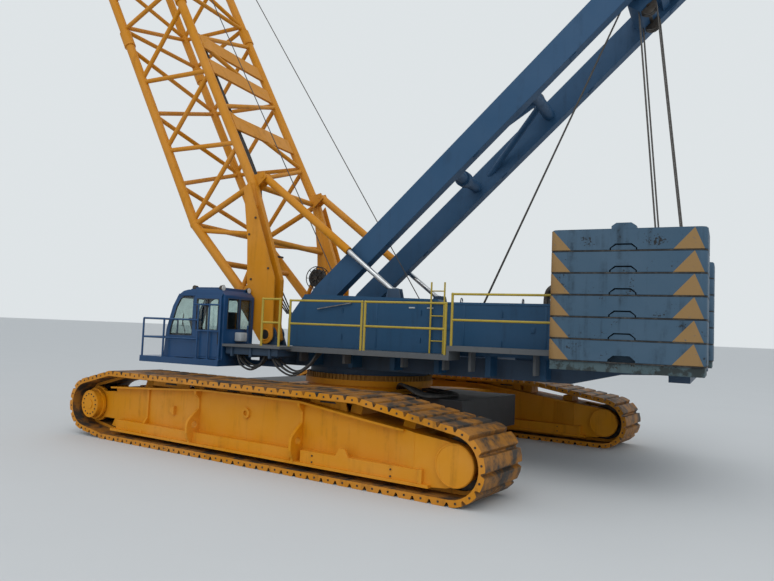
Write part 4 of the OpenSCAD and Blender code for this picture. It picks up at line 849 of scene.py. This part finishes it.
def makeHood():
    k = hoodSet
    x0, top = k["x0"], k["top"]
    slats, dark, pipe = bmesh.new(), bmesh.new(), bmesh.new()
    for x in k["louvreX"]:
        for i in range(k["louvres"]):
            y = -1.1 + i * k["louvreStep"]
            slat = [(x, y, top - 0.005), (x + 0.55, y, top - 0.005), (x + 0.55, y + 0.10, top + 0.032),
                    (x, y + 0.10, top + 0.032)]
            addPlate(slats, placed(upper, slat), Vector((0, 0.006, -0.026)))
    # painted shade: a near-black sheet behind the grille for the shade inside the hood
    addBox(dark, upper, (x0 - 0.012, -1.15, 2.55), (x0 + 0.02, 1.15, 3.30))
    for i in range(k["grille"]):
        z = k["grilleZ"] + i * k["grilleStep"]
        addBox(slats, upper, (x0 - 0.035, -1.16, z), (x0 - 0.004, 1.16, z + 0.014))
    for y in k["uprights"]:
        addBox(slats, upper, (x0 - 0.045, y - 0.025, 2.52), (x0 - 0.002, y + 0.025, 3.33), 0.004)
    for z in k["frameZ"]:
        addBox(slats, upper, (x0 - 0.045, -1.19, z - 0.02), (x0 - 0.002, 1.19, z + 0.02), 0.004)
    addHose(pipe, smoothPath(placed(upper, k["exhaust"]), 6), 0.075, 16)
    addRod(pipe, *placed(upper, k["collar"]), 0.12, 20)
    low, brim, high = (upper(*k["stack"], z) for z in k["stackZ"])
    addRod(pipe, low, brim, 0.17, 24)
    addRod(pipe, brim, high, 0.22, 24, 0.20)
    finishPiece("hoodLouvres", slats, "houseBlue")
    finishPiece("hoodGrilleBack", dark, "hole")
    finishPiece("hoodPipes", pipe, "darkSteel")


makeHood()
print("upper works trim made")

# boom: foot side plates with their outer cheeks, pins, cable reels, hoses along the foot.
# A reel is its place u, y, w and its radius
boomSet = {"y": 1.6, "half": 0.08, "pinR": 0.125, "cheekY": 1.905, "cheek": 0.04, "eyeR": 0.235,
           "plate": [(-0.28, -0.20), (1.28, -0.47), (1.42, 0.03), (2.5, 0.52), (3.80, 0.98), (3.90, 1.22),
                     (2.5, 1.03), (1.16, 0.86), (0.16, 0.30), (-0.25, 0.20)],
           "spacers": ((1.45, -0.2), (2.2, 0.75), (3.3, 0.98)),
           "bolts": ((0.75, -0.25), (1.2, -0.36), (1.50, 0.20), (2.6, 0.64), (1.5, 0.80), (2.9, 1.00)),
           "reels": [(3.04, -0.55, -0.62, 0.30), (1.62, -0.9, 0.55, 0.34)], "spokes": 8, "hoses": 4}


def makeReel(reels, wound, u, y, w, r):
    across = Vector((0, 1, 0))
    for d in (-0.09, 0.09):
        c = boom(u, y + d, w)
        addRing(reels, c, across, r, 0.014, 28, 6)
        addRing(reels, c, across, r * 0.55, 0.010, 20, 6)
        for dx, dz in turns(boomSet["spokes"]):
            addRod(reels, c, c + Vector((dx, 0, dz)) * r, 0.010, 6)
    addRod(reels, boom(u, y - 0.13, w), boom(u, y + 0.13, w), 0.06, 14)
    addRod(wound, boom(u, y - 0.075, w), boom(u, y + 0.075, w), r * 0.78, 24)
    side = 1 if y > 0 else -1
    addRod(reels, boom(u, y + 0.12, w), boom(u, side * 1.5, w if u > 2 else w - 0.1), 0.035, 10)


def makeBoomTrim():
    k = boomSet
    plates, caps, reels, hoses = (bmesh.new() for _ in range(4))
    across = Vector((0, 1, 0))
    eye = [cosSin(95 + 15 * i) for i in range(12)]
    cheek = [(k["eyeR"] * c, k["eyeR"] * h) for c, h in eye] + k["plate"][1:-2]
    for s in (1, -1):
        inner = [boom(u, s * k["y"] - k["half"], w) for u, w in k["plate"]]
        addPlate(plates, inner, across * 2 * k["half"], 0.012)
        addPlate(plates, [boom(u, s * k["cheekY"], w) for u, w in cheek], across * s * k["cheek"], 0.008)
        for u, w in k["spacers"]:
            addRod(plates, boom(u, s * (k["y"] + 0.07), w), boom(u, s * (k["cheekY"] + 0.01), w), 0.06, 14)
        pin = boom(0, s * (k["cheekY"] + 0.043), 0)
        addRod(caps, boom(0, s * (k["y"] + 0.125), 0), pin, k["pinR"], 20)
        addRing(plates, pin, across, k["pinR"] + 0.012, 0.018, 28, 8)
        for u, w in k["bolts"]:
            p = boom(u, s * (k["cheekY"] + k["cheek"]), w)
            addRod(caps, p - across * s * 0.01, p + across * s * 0.02, 0.030, 8)
    for reel in k["reels"]:
        makeReel(reels, hoses, *reel)
    for i in range(k["hoses"]):
        y = 1.30 - 0.07 * i
        path = [(9.4, y, 1.0), (7.0, y + 0.02, 1.03), (4.2, y, 1.02), (3.2, y - 0.04, 0.62 - 0.03 * i),
                (2.0, y - 0.06, 0.30), (1.2, y - 0.10, 0.22 + 0.05 * i), (0.45, y - 0.16, 0.36)]
        addHose(hoses, smoothPath(placed(boom, path), 6), 0.020, 6)
    finishPiece("boomFootPlates", plates, "boomYellow", "boom")
    finishPiece("boomPinCaps", caps, "darkSteel", "boom")
    finishPiece("cableReels", reels, "darkSteel", "boom")
    finishPiece("boomHoses", hoses, "rubber", "boom")


makeBoomTrim()
print("boom trim made")

# mast: blocks at the crossbar, hoses along it, ring eye, pin caps and small cover plates on the legs
mastSet = {"legY": 1.15, "blocks": (-0.28, 0.05, 0.34), "blockAt": (7.86, -0.22), "blockR": 0.20,
           "hoses": (0.72, 0.81, 0.90), "eye": (5.05, 0.62, 0.02), "foot": (0.16, 0.30),
           "caps": (0.45, 3.0, 6.0, 9.0, 11.6)}


def makeMastTrim():
    k = mastSet
    dark, hoses, caps = bmesh.new(), bmesh.new(), bmesh.new()
    u, w = k["blockAt"]
    for y in k["blocks"]:
        addRod(dark, mast(u, y - 0.05, w), mast(u, y + 0.05, w), k["blockR"], 18)
        for near, far in ((-0.075, -0.058), (0.058, 0.075)):
            addBox(dark, mast, (u - 0.16, y + near, w - 0.14), (u + 0.16, y + far, w + 0.12), 0.004)
    for y in k["hoses"]:
        path = [(0.5, y, -0.25), (2.5, y, -0.30), (5.0, y, -0.26), (5.45, y - 0.2, -0.42), (6.2, y, -0.26),
                (7.6, y, -0.30), (8.1, y - 0.25, -0.46), (8.6, y, -0.28), (11.2, y, -0.28)]
        addHose(hoses, smoothPath(placed(mast, path), 6), 0.018, 6)
    addRing(caps, mast(*k["eye"]), (0.3, 0, 1), 0.13, 0.022, 20, 8)
    for s in (1, -1):
        near, far = (mast(0, s * (k["legY"] + d), 0) for d in k["foot"])
        addRod(caps, near, far, 0.11, 20)
        y = s * k["legY"]
        for u in k["caps"]:
            addBox(caps, mast, (u - 0.10, y - 0.10, 0.295), (u + 0.10, y + 0.10, 0.312), 0.004)
    finishPiece("mastBlocks", dark, "darkSteel", "mast")
    finishPiece("mastHoses", hoses, "rubber", "mast")
    finishPiece("mastCaps", caps, "mastBlue", "mast")


makeMastTrim()
print("mast trim made")

# taut ropes: each free run is straight between its two ends
ropeSet = {"r": 0.014, "tackleHead": (10.9, 0, 0.42), "tackleFoot": (-7.6, 0, 2.95), "sheaveR": 0.20,
           "headGap": 0.19, "footGap": 0.28, "tackleY": (-0.52, -0.44, -0.36, 0.36, 0.44, 0.52),
           "tackleBox": [(10.60, 0.12), (11.20, 0.12), (11.12, 0.44), (10.68, 0.44)], "boxHalf": 0.62,
           "shaftHalf": 0.60, "sheaveHalf": 0.03,
           "luffing": (((11.7, 0.94, -0.3), (-3.15, 0.50, 3.30)),
                       ((11.7, 0.97, -0.3), (-3.15, 0.58, 3.30))),
           "hoist": (("hoistRopeFront", 0.30, 0.45), ("hoistRopeRear", -0.30, -1.5)),
           "head": [(29.85, 0.95), (30.02, 0.80), (30.05, 0.2), (30.15, -0.78), (29.85, -0.76)]}


def straightRope(bm, p, q):
    addRod(bm, p, q, ropeSet["r"], 8)


def makeTackle():
    k = ropeSet
    head = mast(*k["tackleHead"])
    low = upper(*k["tackleFoot"])
    d = (head - low).normalized()
    out = Vector((-d.z, 0, d.x))
    bm, wheels, shell = bmesh.new(), bmesh.new(), bmesh.new()
    for y in k["tackleY"]:
        side = Vector((0, y, 0))
        for s in (1, -1):
            straightRope(bm, head + out * s * k["headGap"] + side, low + out * s * k["footGap"] + side)
        near, far = (head + Vector((0, y + d, 0)) for d in (-k["sheaveHalf"], k["sheaveHalf"]))
        addRod(wheels, near, far, k["sheaveR"], 24)
    shaft = Vector((0, k["shaftHalf"], 0))
    addRod(wheels, head - shaft, head + shaft, 0.05, 14)
    finishPiece("tackleSheaves", wheels, "darkSteel", "mast")
    side = [mast(u, -k["boxHalf"], w) for u, w in k["tackleBox"]]
    addPlate(shell, side, Vector((0, 2 * k["boxHalf"], 0)), 0.02)
    finishPiece("tackleHousing", shell, "mastBlue", "mast")
    across = ("upper_works", "mast", low + out * k["footGap"], head)
    finishPiece("mastTackle", bm, "rope", None, across)


def makeRopes():
    k = ropeSet
    # derricking rope from the mast head to the rear drum
    bm = bmesh.new()
    for top, foot in k["luffing"]:
        straightRope(bm, mast(*top), upper(*foot))
    top, foot = k["luffing"][0]
    across = ("upper_works", "mast", upper(*foot), mast(*top))
    finishPiece("luffingRope", bm, "rope", None, across)
    # hoist ropes from the boom head to the two front drums, and their runs over the head
    u, w = k["head"][0]
    for name, y, x in k["hoist"]:
        bm = bmesh.new()
        top = boom(u, y, w)
        foot = upper(x, y * 1.2, 3.29)
        straightRope(bm, foot, top)
        finishPiece(name, bm, "rope", None, ("upper_works", "boom", foot, top))
    bm = bmesh.new()
    for _, y, _ in k["hoist"]:
        addHose(bm, smoothPath([boom(u, y, w) for u, w in k["head"]], 6), k["r"], 8)
    finishPiece("headRope", bm, "rope", "boom")


makeTackle()
makeRopes()

# rope wound on the drums
drumSet = {"z": 2.96, "r": 0.332, "half": 0.64, "turns": 40, "steps": 26, "rope": 0.0155,
           "drums": {"front_drum": 0.45, "middle_drum": -1.5, "rear_drum": -3.15}}


def makeDrums():
    k = drumSet
    for body, x in k["drums"].items():
        bm = bmesh.new()
        n = k["turns"] * k["steps"]
        path = []
        for i in range(n + 1):
            t = 2 * math.pi * i / k["steps"]
            y = -k["half"] + 2 * k["half"] * i / n
            path.append(upper(x + k["r"] * math.cos(t), y, k["z"] + k["r"] * math.sin(t)))
        addHose(bm, path, k["rope"], 5)
        finishPiece(body + "Rope", bm, "rope", body)


makeDrums()
print("ropes made")

# hook block: pin caps, bolts and rope guards
blockSet = {"x": 17.167, "z": 20.819, "y": 0.52, "capR": 0.15, "boltCircle": 0.115, "bolts": 8,
            "corners": ((-0.26, 0.38), (0.26, 0.38), (-0.40, 0.02), (0.40, 0.02), (-0.26, -0.66),
                        (0.26, -0.66)),
            "guards": ((-0.27, 0.43), (0.27, 0.43))}


def makeBlock():
    k = blockSet
    x, z = k["x"], k["z"]
    caps, guard = bmesh.new(), bmesh.new()
    for s in (1, -1):
        y = s * k["y"]
        addRod(caps, upper(x, y - s * 0.01, z), upper(x, y + s * 0.05, z), k["capR"], 24)
        for dx, dz in turns(k["bolts"]):
            a, b = x + k["boltCircle"] * dx, z + k["boltCircle"] * dz
            addRod(caps, upper(a, y, b), upper(a, y + s * 0.065, b), 0.014, 6)
        for dx, dz in k["corners"]:
            a, b = x + dx, z + dz
            addRod(caps, upper(a, y - s * 0.01, b), upper(a, y + s * 0.04, b), 0.032, 6)
    for dx, dz in k["guards"]:
        addRod(guard, upper(x + dx, -0.5, z + dz), upper(x + dx, 0.5, z + dz), 0.025, 10)
    finishPiece("blockBolts", caps, "darkSteel", "block")
    finishPiece("blockGuards", guard, "boomYellow", "block")


makeBlock()
print("hook block trim made")

# floor, backdrop and light
stageSet = {"floor": (0.62, 0.64, 0.655), "floorHalf": 3000, "below": 0.002, "duller": 0.965,
            "sky": (0.735, 0.775, 0.795), "worldColour": (0.93, 0.97, 1.0), "worldLight": 0.78,
            "panel": (46, 34), "keyPower": 5200, "keyColour": (1.0, 0.985, 0.96), "keyAt": (-14, 30, 34)}


def makeStage():
    k = stageSet
    bm = bmesh.new()
    bmesh.ops.create_grid(bm, x_segments=1, y_segments=1, size=k["floorHalf"])
    bmesh.ops.translate(bm, verts=bm.verts, vec=upper(0, 0, -k["below"]))
    mesh = bpy.data.meshes.new("studioFloor")
    bm.to_mesh(mesh)
    bm.free()
    floor = bpy.data.objects.new("studioFloor", mesh)
    bpy.context.scene.collection.objects.link(floor)
    m, t, b = startMaterial("floorPale")
    n = noiseNode(t, objectCoords(t), 0.35, 3)
    dull = tuple(c * k["duller"] for c in k["floor"])
    fill(t, b, {"Base Color": mixColor(t, n, k["floor"], dull), "Roughness": 0.9,
                "Specular IOR Level": 0.1})
    mesh.materials.append(m)
    world = bpy.data.worlds.new("overcast")
    bpy.context.scene.world = world
    world.use_nodes = True
    t = world.node_tree
    bg = t.nodes["Background"]
    fill(t, bg, {"Color": k["worldColour"], "Strength": k["worldLight"]})
    seen = t.nodes.new("ShaderNodeBackground")
    fill(t, seen, {"Color": k["sky"]})
    path = t.nodes.new("ShaderNodeLightPath")
    rays = mathNode(t, "ADD", path.outputs["Is Camera Ray"], path.outputs["Is Glossy Ray"], True)
    rays = mathNode(t, "ADD", rays, path.outputs["Is Transmission Ray"], True)
    mix = t.nodes.new("ShaderNodeMixShader")
    fill(t, mix, {0: rays, 1: bg.outputs[0], 2: seen.outputs[0]})
    fill(t, t.nodes["World Output"], {"Surface": mix.outputs[0]})
    data = bpy.data.lights.new("skyPanel", "AREA")
    data.shape = "RECTANGLE"
    data.size, data.size_y = k["panel"]
    data.energy = k["keyPower"]
    data.color = k["keyColour"]
    lamp = bpy.data.objects.new("skyPanel", data)
    bpy.context.scene.collection.objects.link(lamp)
    at = upper(*k["keyAt"])
    look = (upper(0, 0, 3) - at).normalized()
    lamp.matrix_world = Matrix.Translation(at) @ look.to_track_quat("-Z", "Y").to_matrix().to_4x4()


makeStage()
bpy.context.scene.view_settings.view_transform = "Standard"
print("stage and light set")
